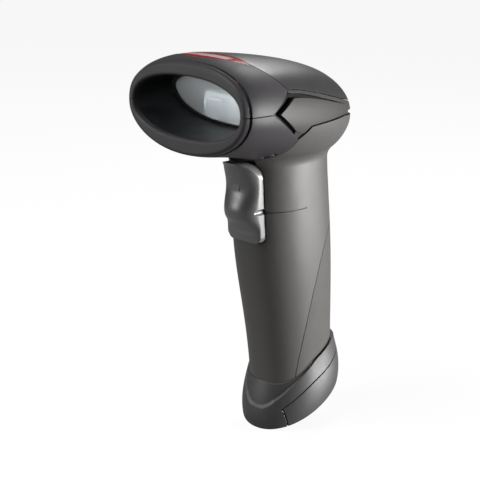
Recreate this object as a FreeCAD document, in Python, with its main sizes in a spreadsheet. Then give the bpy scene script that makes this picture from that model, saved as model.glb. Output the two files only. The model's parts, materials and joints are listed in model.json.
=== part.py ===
"""Handheld barcode scanner: a parametric assembly of separate pieces.

Frame: millimetres, +Z up, -Y the nose, X across. The origin is the centre of the footprint,
on the plane of the lowest point of the foot. Every size is a cell of the sheet "Sizes".
"""
import FreeCAD
import Part
import Sketcher
import math
import os

from FreeCAD import Placement, Rotation, Vector

doc = FreeCAD.newDocument("BarcodeScanner")
sheet = doc.addObject("Spreadsheet::Sheet", "Sizes")
sizes = {}
sub_parts = []

X_AXIS = Vector(1, 0, 0)
Y_AXIS = Vector(0, 1, 0)
Z_AXIS = Vector(0, 0, 1)
RING_POINTS = 24          # points on one cross-section of a lofted skin
WIDE = 60.0               # half width of a cutting prism, more than the object's own

# ---------------------------------------------------------------------------------------
# Driving dimensions
# ---------------------------------------------------------------------------------------
DRIVING = {
    # outer shells
    "nose_y": -49.4, "wall": 2.2, "front_wall": 2.6, "seam_gap": 0.3, "neck_fillet": 6.0,
    "rim_fillet": 1.6, "rim_groove_y": 2.0, "rim_groove_width": 1.3, "rim_groove_depth": 1.1,
    # nose tunnel and window
    "mouth_half": 31.6, "mouth_top": 171.6, "mouth_bottom": 145.6, "mouth_middle": 158.5,
    "throat_half": 27.0, "throat_top": 170.6, "throat_bottom": 147.0, "throat_y": -12.0,
    "window_y": -26.7, "window_lean": -0.7, "window_thick": 1.5, "liner_wall": 1.3,
    "gasket_width": 1.1, "gasket_thick": 0.9,
    # seams seen from the side
    "parting_z": 158.5, "groove_floor": 2.35, "ledge_depth": 1.0,
    # badge and rear lens
    "badge_half": 22.0, "badge_back_y": -32.6, "badge_bulge": 10.4, "badge_recess": 0.75,
    "lens_half": 6.0, "lens_z": 149.9, "lens_tall": 5.6, "lens_back_y": 48.2, "lens_deep": 4.6,
    # boot and foot
    "foot_y": 22.99, "foot_z": 11.03, "foot_slope": 24.1,
    "boot_wall": 2.6, "boot_rear_z": 40.1, "toe_inset": 0.9, "foot_gap": 0.5, "grip_end": 5.0,
    # trigger
    "pivot_y": -7.0, "pivot_z": 130.5, "pin_radius": 1.25, "pin_half": 13.0,
    "pivot_clearance": 0.05, "trigger_half": 10.0, "trigger_gap": 0.4,
    "trigger_wall": 1.8, "trigger_back": -6.5, "trigger_low": 94.4, "trigger_high": 131.6,
    "shoulder_radius": 7.5, "tail_radius": 3.4, "notch_z": 109.4, "notch_radius": 1.5,
    "boss_radius": 3.2, "presser_z": 120.0, "presser_y": -1.1, "presser_half": 1.8,
    "spring_z": 100.0, "spring_radius": 2.3, "spring_wire": 0.5, "spring_turns": 6, "spring_front_y": -11.8,
    "spring_seat_y": 1.0, "seat_thick": 1.5, "seat_tall": 9.0,
    # main board and what it carries
    "board_y": 8.0, "board_thick": 1.6, "board_half": 11.0, "board_low": 48.0,
    "board_high": 126.0, "post_radius": 2.6, "post_low_z": 57.0, "post_high_z": 86.0,
    "screw_radius": 1.0, "screw_head_radius": 1.9, "screw_head_tall": 1.3, "screw_long": 6.0,
    "rib_z": 108.0, "rib_tall": 7.0, "rib_thick": 1.6,
    "switch_side": 6.2, "switch_deep": 6.0, "plunger_radius": 1.5, "plunger_long": 3.0,
    "buzzer_radius": 6.0, "buzzer_tall": 7.0, "buzzer_z": 104.0, "buzzer_port": 1.2,
    "decoder_side": 12.0, "decoder_tall": 1.4, "decoder_z": 78.0,
    "memory_wide": 7.0, "memory_deep": 9.0, "memory_tall": 1.1, "memory_z": 64.0,
    "header_wide": 12.0, "header_tall": 5.0, "header_deep": 4.2, "header_z": 52.0,
    # scan engine
    "engine_half": 24.0, "engine_front": -13.0, "engine_back": 10.0, "engine_floor_z": 146.0,
    "engine_top_z": 160.0, "engine_wall": 1.5, "engine_floor": 2.0, "engine_board": 1.2,
    "aperture_x": 11.0, "aperture_wide": 18.0, "aperture_tall": 9.0, "aperture_z": 154.0,
    "mirror_x": 11.0, "mirror_y": -2.0, "mirror_wide": 12.0, "mirror_tall": 9.0,
    "mirror_thick": 1.0, "mirror_lean": 40.0, "shaft_radius": 0.8, "shaft_long": 11.6,
    "hub_radius": 1.9, "coil_radius": 3.4, "coil_thick": 2.6,
    "laser_radius": 2.6, "laser_long": 9.0, "laser_x": -3.0, "laser_lens_thick": 1.0,
    "bezel_x": -17.0, "bezel_wide": 10.4, "bezel_tall": 9.4, "bezel_z": 153.0,
    "bezel_deep": 2.2, "bezel_wall": 1.1, "filter_thick": 0.8, "detector_side": 5.0,
    "detector_thick": 1.6, "grommet_radius": 2.9,
    "engine_screw_x": 19.3, "engine_screw_front": -8.4, "engine_screw_back": 5.4,
    # flex lead between the two boards
    "flex_half": 5.5, "flex_thick": 0.35, "flex_back": 15.0, "clip_half": 6.8,
    "clip_deep": 2.6, "clip_tall": 4.4,
    # cable socket in the foot
    "socket_x": 14.4, "socket_y": 13.0, "socket_long": 15.0, "mouth_wide": 11.8,
    "mouth_deep": 7.4, "socket_depth": 11.0, "contact_count": 8,
    "contact_pitch": 1.02, "contact_thick": 0.4, "harness_radius": 1.5,
    "foot_screw_x": 11.2, "foot_screw_back": 11.5,
}

# Head cross-sections: depth behind the nose, half width, top, bottom, roundness, widest height.
HEAD_STATIONS = [
    (0.0, 34.3, 176.6, 139.2, 2.25, 158.4),
    (2.2, 35.4, 177.8, 138.5, 2.30, 158.3),
    (8.7, 36.6, 179.5, 137.4, 2.35, 158.0),
    (23.7, 36.0, 179.3, 135.0, 2.35, 156.5),
    (43.7, 33.3, 177.0, 130.5, 2.30, 154.0),
    (63.7, 29.0, 173.0, 128.0, 2.30, 151.5),
    (78.7, 23.5, 167.6, 130.0, 2.25, 149.5),
    (87.7, 18.0, 162.0, 134.5, 2.20, 148.5),
    (93.2, 12.5, 157.2, 138.8, 2.10, 147.5),
    (96.0, 7.0, 153.4, 142.4, 2.00, 147.6),
]
HEAD_UNDERSIDE_ROUNDNESS = 2.05
# Grip cross-sections: height, centre y, half depth, half width, roundness.
GRIP_STATIONS = [
    (140.0, 9.3, 24.0, 19.0, 2.3),
    (125.0, 10.3, 24.0, 19.0, 2.3),
    (106.0, 12.3, 24.5, 19.0, 2.3),
    (83.0, 15.0, 24.1, 19.0, 2.3),
    (56.0, 18.7, 22.2, 18.0, 2.3),
    (31.0, 21.5, 20.7, 17.0, 2.3),
    (0.0, 23.2, 19.9, 16.2, 2.3),
]
# Boot cross-sections, parallel to the slanted foot: height up the middle, centre y,
# half depth along the slope, half width.
BOOT_STATIONS = [
    (0.0, 23.0, 27.1, 20.8),
    (3.5, 22.9, 27.5, 21.1),
    (12.0, 22.6, 26.6, 20.5),
    (19.0, 22.5, 24.6, 19.2),
    (24.0, 22.6, 23.3, 18.4),
]
BOOT_ROUNDNESS = 2.1


def fill_sheet():
    """Write every driving size to the sheet and keep its number for the lofted skins."""
    for row, (name, value) in enumerate(DRIVING.items(), start=1):
        sheet.set("A%d" % row, name)
        sheet.set("B%d" % row, str(value))
        sheet.setAlias("B%d" % row, name)
    doc.recompute()
    for name in DRIVING:
        sizes[name] = float(getattr(sheet, name))


fill_sheet()


def cell(name):
    """Give the expression that reads one cell of the sheet."""
    return "Sizes." + name


# ---------------------------------------------------------------------------------------
# Document objects made from primitives, sketches and finished shapes
# ---------------------------------------------------------------------------------------
def keep(obj, label):
    """Register a sub-part under the name that its file gets."""
    obj.Label = label
    sub_parts.append(obj)
    return obj


def shaped(label, shape):
    """Add a piece whose form comes from Part's own functions."""
    piece = doc.addObject("Part::Feature", label)
    piece.Shape = shape
    piece.Placement = shape.Placement
    return keep(piece, label)


def bind(obj, **expressions):
    """Bind properties to sheet cells; two underscores stand for a dot."""
    for prop, expression in expressions.items():
        obj.setExpression(prop.replace("__", "."), expression)
    return obj


def place(obj, x=None, y=None, z=None):
    """Bind an object's position to expressions."""
    for axis, expression in (("x", x), ("y", y), ("z", z)):
        if expression is not None:
            obj.setExpression("Placement.Base." + axis, expression)
    return obj


def origin_plane(body, role):
    """Find one of a body's own origin planes."""
    for feature in body.Origin.OriginFeatures:
        if feature.Role == role:
            return feature
    raise ValueError(role)


def new_sketch(body, name, plane, shift):
    """Attach an empty sketch to an origin plane, moved by three expressions."""
    sketch = body.newObject("Sketcher::SketchObject", name)
    sketch.AttachmentSupport = (origin_plane(body, plane), [""])
    sketch.MapMode = "FlatFace"
    for axis, expression in zip("xyz", shift):
        if expression is not None:
            sketch.setExpression("AttachmentOffset.Base." + axis, expression)
    return sketch


def rectangle(body, name, plane, wide, tall, shift=(None, None, None)):
    """Sketch a rectangle centred on the sketch's origin."""
    sketch = new_sketch(body, name, plane, shift)
    corners = [Vector(-4, -3, 0), Vector(4, -3, 0), Vector(4, 3, 0), Vector(-4, 3, 0)]
    for index in range(4):
        sketch.addGeometry(Part.LineSegment(corners[index], corners[(index + 1) % 4]), False)
    for index in range(4):
        following = (index + 1) % 4
        sketch.addConstraint(Sketcher.Constraint("Coincident", index, 2, following, 1))
    for index, kind in enumerate(("Horizontal", "Vertical", "Horizontal", "Vertical")):
        sketch.addConstraint(Sketcher.Constraint(kind, index))
    sketch.addConstraint(Sketcher.Constraint("Symmetric", 0, 1, 1, 2, -1, 1))
    across = sketch.addConstraint(Sketcher.Constraint("DistanceX", 0, 1, 0, 2, 8.0))
    upward = sketch.addConstraint(Sketcher.Constraint("DistanceY", 1, 1, 1, 2, 6.0))
    sketch.setExpression("Constraints[%d]" % across, wide)
    sketch.setExpression("Constraints[%d]" % upward, tall)
    return sketch


def circle(body, name, plane, radius, shift=(None, None, None)):
    """Sketch a circle centred on the sketch's origin."""
    sketch = new_sketch(body, name, plane, shift)
    sketch.addGeometry(Part.Circle(Vector(0, 0, 0), Z_AXIS, 2.0), False)
    sketch.addConstraint(Sketcher.Constraint("Coincident", 0, 3, -1, 1))
    size = sketch.addConstraint(Sketcher.Constraint("Radius", 0, 2.0))
    sketch.setExpression("Constraints[%d]" % size, radius)
    return sketch


def pad(body, sketch, length, downward=False):
    """Pad a sketch by an expression's length."""
    feature = body.newObject("PartDesign::Pad", sketch.Name + "Pad")
    feature.Profile = sketch
    feature.setExpression("Length", length)
    feature.Reversed = downward
    sketch.Visibility = False
    return feature


def pocket(body, sketch, length, reverse=False):
    """Cut a sketch into a body by an expression's length."""
    feature = body.newObject("PartDesign::Pocket", sketch.Name + "Pocket")
    feature.Profile = sketch
    feature.setExpression("Length", length)
    feature.Reversed = reverse
    sketch.Visibility = False
    return feature


def soften(body, feature, radius, direction):
    """Fillet the edges of a feature that run along one direction."""
    doc.recompute()
    names = []
    for index, edge in enumerate(feature.Shape.Edges, start=1):
        if isinstance(edge.Curve, Part.Line) and abs(edge.Curve.Direction.dot(direction)) > 0.99:
            names.append("Edge%d" % index)
    fillet = body.newObject("PartDesign::Fillet", feature.Name + "Soft")
    fillet.Base = (feature, names)
    fillet.setExpression("Radius", radius)
    return fillet


def block(label, wide, deep, tall, x, y, z, soft=None):
    """Make a body from one padded rectangle, centred on x and y, standing on z."""
    body = doc.addObject("PartDesign::Body", label)
    base = pad(body, rectangle(body, label + "Sketch", "XY_Plane", wide, deep), tall)
    if soft:
        soften(body, base, soft, Z_AXIS)
    place(body, x, y, z)
    return keep(body, label)


def cylinder(name, radius, height, axis, x, y, z):
    """Make a Part cylinder along an axis, with its base at a point."""
    piece = doc.addObject("Part::Cylinder", name)
    bind(piece, Radius=radius, Height=height)
    piece.Placement = Placement(Vector(), Rotation(Z_AXIS, axis))
    return place(piece, x, y, z)


# ---------------------------------------------------------------------------------------
# Lofted skins and cutting prisms
# ---------------------------------------------------------------------------------------
def signed_power(value, power):
    return math.copysign(abs(value) ** power, value)


def ring_angles():
    return [2 * math.pi * index / RING_POINTS for index in range(RING_POINTS)]


def closed_wire(points):
    """Pass one smooth closed curve through points, spaced evenly in its parameter."""
    curve = Part.BSplineCurve()
    count = len(points)
    steps = [index / count for index in range(count + 1)]
    curve.interpolate(Points=points, PeriodicFlag=True, Parameters=steps)
    return Part.Wire([curve.toShape()])


def nose_ring(y, half, top, bottom, middle, upper_round, lower_round):
    """Make an upright oval section that faces along Y."""
    points = []
    for angle in ring_angles():
        across = math.cos(angle)
        upward = math.sin(angle)
        power = 2 / (upper_round if upward >= 0 else lower_round)
        rise = signed_power(upward, power)
        reach = (top - middle) if rise >= 0 else (middle - bottom)
        points.append(Vector(half * signed_power(across, power), y, middle + rise * reach))
    return closed_wire(points)


def head_skin(inset, front_shift=0.0):
    """Loft the head's outer form, or a form that lies a distance inside it."""
    wires = []
    last = len(HEAD_STATIONS) - 1
    rear_pull = {last: 1.0, last - 1: 0.7, last - 2: 0.4}
    for index, (depth, half, top, bottom, roundness, middle) in enumerate(HEAD_STATIONS):
        y = sizes["nose_y"] + depth - inset * rear_pull.get(index, 0.0)
        y += front_shift if index == 0 else 0.0
        wires.append(nose_ring(y, half - inset, top - inset, bottom + inset, middle,
                               roundness, HEAD_UNDERSIDE_ROUNDNESS))
    return Part.makeLoft(wires, True, False)


def grip_skin(inset):
    """Loft the handle's outer form, or a form that lies a distance inside it."""
    wires = []
    for height, centre, deep, half, roundness in GRIP_STATIONS:
        points = []
        for angle in ring_angles():
            across = (half - inset) * signed_power(math.cos(angle), 2 / roundness)
            along = (deep - inset) * signed_power(math.sin(angle), 2 / roundness)
            points.append(Vector(across, centre + along, height))
        wires.append(closed_wire(points))
    return Part.makeLoft(wires, True, False)


def foot_point(across, along, up):
    """Place a point given in the slanted foot's own directions."""
    slope = math.radians(sizes["foot_slope"])
    y = sizes["foot_y"] + along * math.cos(slope)
    z = sizes["foot_z"] + along * math.sin(slope) + up
    return Vector(across, y, z)


def boot_skin(inset, lift=0.0):
    """Loft the boot's outer form through sections parallel to the slanted foot."""
    wires = []
    for height, centre, deep, half in BOOT_STATIONS:
        points = []
        for angle in ring_angles():
            across = (half - inset) * signed_power(math.cos(angle), 2 / BOOT_ROUNDNESS)
            along = (deep - inset) * signed_power(math.sin(angle), 2 / BOOT_ROUNDNESS)
            point = foot_point(across, along, height + lift)
            point.y += centre - sizes["foot_y"]
            points.append(point)
        wires.append(closed_wire(points))
    return Part.makeLoft(wires, True, False)


def tunnel_ring(y, grow):
    """Section of the nose tunnel at a depth, grown outward by a distance."""
    share = (y - sizes["nose_y"]) / (sizes["throat_y"] - sizes["nose_y"])

    def between(mouth, throat):
        return sizes[mouth] + share * (sizes[throat] - sizes[mouth])

    return nose_ring(y, between("mouth_half", "throat_half") + grow,
                     between("mouth_top", "throat_top") + grow,
                     between("mouth_bottom", "throat_bottom") - grow,
                     sizes["mouth_middle"], 2.3, 2.3)


def tunnel(grow, front, back):
    """Loft the tunnel's inside between two depths, grown outward by a distance."""
    return Part.makeLoft([tunnel_ring(front, grow), tunnel_ring(back, grow)], True, False)


def side_prism(points, shrink=0.0, left=-WIDE, right=WIDE):
    """Extrude an outline given as (y, z) points across X, drawn in by a distance.

    A negative distance grows the outline and rounds its corners.
    """
    corners = [Vector(left, y, z) for y, z in points]
    face = Part.Face(Part.makePolygon(corners + corners[:1]))
    if shrink:
        face = face.makeOffset2D(-shrink, 2 if shrink > 0 else 0)
    return face.extrude(Vector(right - left, 0, 0))


def foot_slab(low, high):
    """Give the slab between two heights over the slanted foot's underside."""
    reach = 90.0
    corners = [foot_point(-WIDE, -reach, low), foot_point(-WIDE, reach, low),
               foot_point(-WIDE, reach, high), foot_point(-WIDE, -reach, high)]
    return Part.Face(Part.makePolygon(corners + corners[:1])).extrude(Vector(2 * WIDE, 0, 0))


def window_slab(front, back):
    """Give the slab between two distances behind the leaning window's front face."""
    lean = sizes["window_lean"]
    top = 40.0

    def corner(rise, offset):
        return (sizes["window_y"] + lean * rise + offset, sizes["mouth_middle"] + rise)

    return side_prism([corner(-top, front), corner(-top, back), corner(top, back),
                       corner(top, front)])


def rod(radius, length, axis, base):
    return Part.makeCylinder(radius, length, base, axis)


def bar(x_range, y_range, z_range):
    size = (x_range[1] - x_range[0], y_range[1] - y_range[0], z_range[1] - z_range[0])
    return Part.makeBox(*size, Vector(x_range[0], y_range[0], z_range[0]))


def mirrored(shape):
    """Give the twin of a shape on the other side of the middle plane."""
    return shape.mirror(Vector(), X_AXIS)


# ---------------------------------------------------------------------------------------
# Seam outlines, as (y, z) points seen from the side
# ---------------------------------------------------------------------------------------
APEX = (-34.7, 158.6)
SHOULDER = (-22.1, 167.0)
CROWN = (-37.7, 182.0)
CHIN = (-12.7, 145.2)
NOTCH = (-5.7, 150.1)
WAIST = [(25.0, 150.3), (60.0, 146.5)]
CREASE = [(-15.2, 130.0), (-16.5, 118.0)]
BROW = (SHOULDER, (-5.0, 166.3), (18.0, 157.5), (60.0, 150.5))
ARCH = ((41.0, 105.0), (24.0, 102.0), (16.5, 84.0), (10.1, 35.2))
FAR_FRONT, FAR_BACK, FAR_UP, FAR_DOWN = -60.0, 60.0, 195.0, -30.0
ENGINE_SCREWS = [(side, row) for side in (-1, 1) for row in ("front", "back")]


# Ridge and seam of the boot, as (along, up) points of the slanted foot.
RIDGE = [(1.0, 24.6), (-4.0, 23.8), (-10.7, 21.4), (-18.2, 17.9), (-23.9, 13.9), (-27.0, 10.4)]
FOOT_SEAM = [(0.0, 15.4), (-6.0, 15.2), (-11.0, 14.3), (-16.5, 12.6), (-22.4, 9.9)]


def bezier(corners, share):
    """Point a share of the way along a curve pulled by four corners."""
    weights = [(1 - share) ** 3, 3 * share * (1 - share) ** 2, 3 * share ** 2 * (1 - share),
               share ** 3]
    y = sum(weight * corner[0] for weight, corner in zip(weights, corners))
    z = sum(weight * corner[1] for weight, corner in zip(weights, corners))
    return (y, z)


def brow_point(share, drop=0.0):
    """Point on the long curved seam under the top cover, lowered by a distance."""
    y, z = bezier(BROW, share)
    return (y, z - drop)


def brow(first=0.0, last=1.0, drop_first=0.0, drop_last=0.0, steps=10):
    """Trace part of the curved seam, with a drop that changes along it."""
    trace = []
    for index in range(steps + 1):
        share = index / steps
        drop = drop_first + share * (drop_last - drop_first)
        trace.append(brow_point(first + share * (last - first), drop))
    return trace


def upper_cowl_outline():
    parting = sizes["parting_z"]
    return [(FAR_FRONT, parting), (APEX[0], parting), SHOULDER, CROWN, (CROWN[0], FAR_UP),
            (FAR_FRONT, FAR_UP)]


def lower_cowl_outline():
    parting = sizes["parting_z"]
    return [(FAR_FRONT, CREASE[1][1]), CREASE[1], CREASE[0], CHIN, (APEX[0], parting),
            (FAR_FRONT, parting)]


def top_cover_outline():
    return brow() + [(FAR_BACK, FAR_UP), (CROWN[0], FAR_UP), CROWN]


def side_outline():
    return [APEX, CHIN, NOTCH] + WAIST + list(reversed(brow()))


def grip_outline():
    return [CHIN, NOTCH] + WAIST + [(FAR_BACK, FAR_DOWN), (FAR_FRONT, FAR_DOWN),
                                    (FAR_FRONT, CREASE[1][1]), CREASE[1], CREASE[0]]


def groove_outline():
    """Deep groove that rounds the front of the side panel and tapers along its top."""
    outer = [(-16.3, 146.6), (-36.9, 158.6), (-24.4, 166.6)]
    top = brow(0.04, 0.70, 1.3, 1.9)
    under = list(reversed(brow(0.05, 0.70, 3.3, 1.9)))
    inner = [(-30.0, 158.2), (-16.5, 149.0)]
    return outer + top + under[1:] + inner


def ledge_outline():
    """Strip along the foot of the side panel that steps inward."""
    return [(-17.0, 149.4), (-17.0, 143.0), (-5.0, 143.0), (FAR_BACK, 143.0),
            (FAR_BACK, 149.0), (25.0, 152.3), (-4.7, 152.1), (-11.4, 147.7)]


def insert_outline():
    """Rear insert of the handle, with its arched top."""
    arch = [bezier(ARCH, index / 12) for index in range(13)]
    return arch + [(8.4, 15.0), (8.0, FAR_DOWN), (FAR_BACK, FAR_DOWN), (FAR_BACK, 105.5)]


def slot_outline():
    """Opening in the front of the handle that the trigger sits in."""
    return [(-40.0, 92.6), (-4.5, 92.6), (-4.5, 132.2), (-14.0, 132.2), (-26.0, 134.0),
            (-40.0, 136.0)]


# ---------------------------------------------------------------------------------------
# Common shells
# ---------------------------------------------------------------------------------------
def filleted_body():
    """Join head and handle, round the neck and the nose, and cut the rim's groove."""
    whole = head_skin(0.0).fuse(grip_skin(0.0))
    neck = [edge for edge in whole.Edges
            if edge.BoundBox.ZMin > 115 and edge.BoundBox.ZMax < 145 and edge.BoundBox.YMax < 45]
    whole = whole.makeFillet(sizes["neck_fillet"], neck)
    nose = [edge for edge in whole.Edges if edge.BoundBox.YMax < sizes["nose_y"] + 0.5]
    whole = whole.makeFillet(sizes["rim_fillet"], nose)
    start = sizes["nose_y"] + sizes["rim_groove_y"]
    band = bar((-WIDE, WIDE), (start, start + sizes["rim_groove_width"]), (100, 200))
    groove = band.cut(head_skin(sizes["rim_groove_depth"]))
    return whole.cut(groove)


def hollow_shell(outer):
    """Take the cavity and the nose's mouth out of the outer form."""
    wall = sizes["wall"]
    cavity = head_skin(wall, sizes["front_wall"]).fuse(grip_skin(wall))
    mouth = tunnel(0.0, sizes["nose_y"] - 1, sizes["nose_y"] + sizes["front_wall"] + 1)
    shell = outer.cut(cavity).cut(mouth)
    rim = [edge for edge in shell.Edges
           if edge.BoundBox.YMax < sizes["nose_y"] + 0.01 and edge.BoundBox.YMin < -40
           and edge.BoundBox.XMax < sizes["mouth_half"] + 0.5]
    return shell.makeFillet(1.1, rim)


BODY = filleted_body()
SHELL = hollow_shell(BODY)
HALF_GAP = sizes["seam_gap"] / 2


def badge_prism(shrink):
    """Stand the badge's almond outline up through the top of the head."""
    half = sizes["badge_half"] - shrink
    back = sizes["badge_back_y"]
    front = back - sizes["badge_bulge"] + shrink
    left, right = Vector(-half, back, 160), Vector(half, back, 160)
    rear = Part.Arc(left, Vector(0, back + 0.9 - shrink, 160), right).toShape()
    brow_edge = Part.Arc(right, Vector(0, front, 160), left).toShape()
    return Part.Face(Part.Wire([rear, brow_edge])).extrude(Vector(0, 0, 30))


def lens_hole():
    half = sizes["lens_half"] + 0.15
    tall = sizes["lens_tall"] / 2 + 0.15
    return bar((-half, half), (30, 60), (sizes["lens_z"] - tall, sizes["lens_z"] + tall))


def front_outline(grow):
    """Block with the trigger's outline seen from the front, grown by a distance."""
    half = sizes["trigger_half"] + grow
    low, high = sizes["trigger_low"] - grow, sizes["trigger_high"] + grow
    outline = bar((-half, half), (-60, 20), (low, high))
    for at, radius in ((low, sizes["tail_radius"] + grow), (high, sizes["shoulder_radius"] + grow)):
        corners = [edge for edge in outline.Edges
                   if abs(edge.CenterOfMass.z - at) < 0.01 and edge.BoundBox.YLength > 70]
        outline = outline.makeFillet(radius, corners)
    return outline


def trigger_room():
    """Space that the trigger needs in the handle's front and round its pivot."""
    half = sizes["trigger_half"] + sizes["trigger_gap"]
    slot = side_prism(slot_outline(), 0.0, -half, half)
    slot = slot.common(front_outline(sizes["trigger_gap"]).fuse(bar((-8, 8), (-60, 20), (120, 140))))
    hub = rod(sizes["boss_radius"] + 0.6, 2 * half, X_AXIS,
              Vector(-half, sizes["pivot_y"], sizes["pivot_z"]))
    return slot.fuse(hub)


def sound_ports():
    """Two short slots under each side of the chin, for the beeper's sound."""
    slots = []
    for side in (-1, 1):
        for x, y, half_wide, half_deep in ((17.9, -18.2, 1.9, 1.1), (21.8, -16.9, 0.9, 0.9)):
            slot = bar((side * x - half_wide, side * x + half_wide),
                       (y - half_deep, y + half_deep), (125, 144))
            slots.append(slot)
    return slots


def carve(shape, *tools):
    for tool in tools:
        shape = shape.cut(tool)
    return shape


# ---------------------------------------------------------------------------------------
# Outer shells
# ---------------------------------------------------------------------------------------
def make_upper_cowl():
    piece = SHELL.common(side_prism(upper_cowl_outline(), HALF_GAP))
    recess = badge_prism(0.0).cut(head_skin(sizes["badge_recess"]))
    return shaped("upper_cowl", piece.cut(recess))


def make_lower_cowl():
    piece = SHELL.common(side_prism(lower_cowl_outline(), HALF_GAP))
    return shaped("lower_cowl", carve(piece, trigger_room(), *sound_ports()))


def make_top_cover():
    piece = SHELL.common(side_prism(top_cover_outline(), HALF_GAP))
    recess = badge_prism(0.0).cut(head_skin(sizes["badge_recess"]))
    return shaped("top_cover", carve(piece, recess, lens_hole()))


def make_side_panels():
    """Grey side panels: a strip along the top, a deep front groove and a stepped foot."""
    right = SHELL.common(side_prism(side_outline(), HALF_GAP, 2.0, WIDE))
    groove = side_prism(groove_outline(), 0.0, 2.0, WIDE)
    ledge = side_prism(ledge_outline(), 0.0, 2.0, WIDE).cut(head_skin(sizes["ledge_depth"]))
    right = carve(right, groove, ledge, lens_hole())
    shaped("side_panel_right", right)
    shaped("side_panel_left", mirrored(right))


def make_side_trims():
    """Black backing that closes the groove of each side panel from inside."""
    floor = sizes["groove_floor"]
    skin = head_skin(floor).cut(head_skin(floor + 1.0))
    right = skin.common(side_prism(groove_outline(), -1.6, 4.0, WIDE))
    right = right.common(side_prism(side_outline(), HALF_GAP, 4.0, WIDE))
    shaped("side_trim_right", right)
    shaped("side_trim_left", mirrored(right))


def engine_screw_place(side, row):
    return (side * sizes["engine_screw_x"], sizes["engine_screw_" + row])


def engine_posts():
    """Four posts that rise from the floor of the head to carry the scan engine."""
    posts = []
    for side, row in ENGINE_SCREWS:
        x, y = engine_screw_place(side, row)
        top = sizes["engine_floor_z"] - 1.0
        post = rod(3.2, top - 128, Z_AXIS, Vector(x, y, 128)).common(head_skin(1.0))
        posts.append(post.cut(rod(1.02, 9, Z_AXIS, Vector(x, y, top - 8))))
    return posts


def board_posts():
    """Two posts from the front wall that the main board is screwed to."""
    posts = []
    for height in (sizes["post_low_z"], sizes["post_high_z"]):
        start = Vector(0, -20, height)
        post = rod(sizes["post_radius"], sizes["board_y"] + 19.95, Y_AXIS, start)
        post = post.common(grip_skin(1.0))
        posts.append(post.cut(rod(1.02, 6, Y_AXIS, Vector(0, sizes["board_y"] - 5, height))))
    return posts


def board_ribs():
    """Ribs from both side walls that the board's edges rest against."""
    ribs = []
    for side in (-1, 1):
        x_range = sorted((side * (sizes["board_half"] - 1.2), side * 18.0))
        y_range = (sizes["board_y"] - 0.05 - sizes["rib_thick"], sizes["board_y"] - 0.05)
        z_range = (sizes["rib_z"], sizes["rib_z"] + sizes["rib_tall"])
        ribs.append(bar(x_range, y_range, z_range).common(grip_skin(1.0)))
    return ribs


def spring_seat():
    """Wall across the handle that the trigger spring pushes against."""
    low = sizes["spring_z"] - sizes["seat_tall"] / 2
    seat = bar((-19, 19), (sizes["spring_seat_y"], sizes["spring_seat_y"] + sizes["seat_thick"]),
               (low, low + sizes["seat_tall"]))
    return seat.common(grip_skin(1.0))


def pivot_bosses():
    """Bosses in the handle's side walls that hold the trigger pin."""
    bosses = []
    gap = sizes["trigger_half"] + sizes["trigger_gap"]
    for side in (-1, 1):
        base = Vector(side * gap, sizes["pivot_y"], sizes["pivot_z"])
        boss = rod(3.4, 8, X_AXIS * side, base).common(BODY)
        bosses.append(boss)
    return bosses


def pin_bore():
    reach = sizes["pin_half"] + 0.05
    return rod(sizes["pin_radius"] + 0.01, 2 * reach, X_AXIS,
               Vector(-reach, sizes["pivot_y"], sizes["pivot_z"]))


def grip_crease():
    """Fine line that runs back from the trigger round each side of the handle."""
    band = side_prism([(-20, 108.3), (8.5, 109.5), (8.5, 109.9), (-20, 109.2)])
    return band.cut(grip_skin(0.5))


def make_grip_housing():
    piece = SHELL.common(side_prism(grip_outline(), HALF_GAP))
    for part in engine_posts() + board_posts() + board_ribs() + [spring_seat()]:
        piece = piece.fuse(part)
    piece = carve(piece, trigger_room(), side_prism(insert_outline()), lens_hole(),
                  foot_slab(-40, sizes["grip_end"]), grip_crease())
    for boss in pivot_bosses():
        piece = piece.fuse(boss)
    return shaped("grip_housing", piece.cut(pin_bore()))


def foot_normal():
    slope = math.radians(sizes["foot_slope"])
    return Vector(0, -math.sin(slope), math.cos(slope))


def foot_screw_places():
    return [foot_point(side * sizes["foot_screw_x"], sizes["foot_screw_back"], 0) for side in (-1, 1)]


def make_grip_back_cover():
    """Rear insert of the handle, with the two bosses that the foot cap screws into."""
    piece = SHELL.common(side_prism(insert_outline(), sizes["seam_gap"]))
    piece = piece.cut(foot_slab(-40, sizes["grip_end"]))
    normal = foot_normal()
    for place_at in foot_screw_places():
        base = place_at + normal * sizes["grip_end"]
        boss = rod(2.6, 9, normal, base).common(grip_skin(0.8))
        piece = piece.fuse(boss).cut(rod(1.02, 7, normal, base))
    return shaped("grip_back_cover", piece)


def foot_outline(points, shrink=0.0):
    """Extrude an outline given as (along, up) points of the slanted foot across X."""
    corners = [foot_point(0, along, up) for along, up in points]
    return side_prism([(corner.y, corner.z) for corner in corners], shrink)


def hollow_boot():
    """Boot with its toe set in above a ridge that climbs to the rear, and a level back."""
    wall, inset = sizes["boot_wall"], sizes["toe_inset"]
    inner = boot_skin(wall).common(foot_slab(wall, 60))
    sleeve = grip_skin(-0.12).common(foot_slab(sizes["grip_end"] - 0.1, 60))
    toe = foot_outline(RIDGE + [(-40, 9), (-40, 50), (RIDGE[0][0], 50)]).cut(boot_skin(inset))
    above = bar((-WIDE, WIDE), (-20, 80), (sizes["boot_rear_z"], 90))
    return carve(boot_skin(0.0), inner, sleeve, toe, above)


def foot_cap_prism(shrink):
    """Side outline of the foot cap: everything under the seam and behind its front end."""
    return foot_outline(FOOT_SEAM + [(-18.6, -6), (60, -6), (60, FOOT_SEAM[0][1])], shrink)


def make_boot(hollow):
    return shaped("boot", hollow.cut(foot_cap_prism(0.0)))


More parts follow.
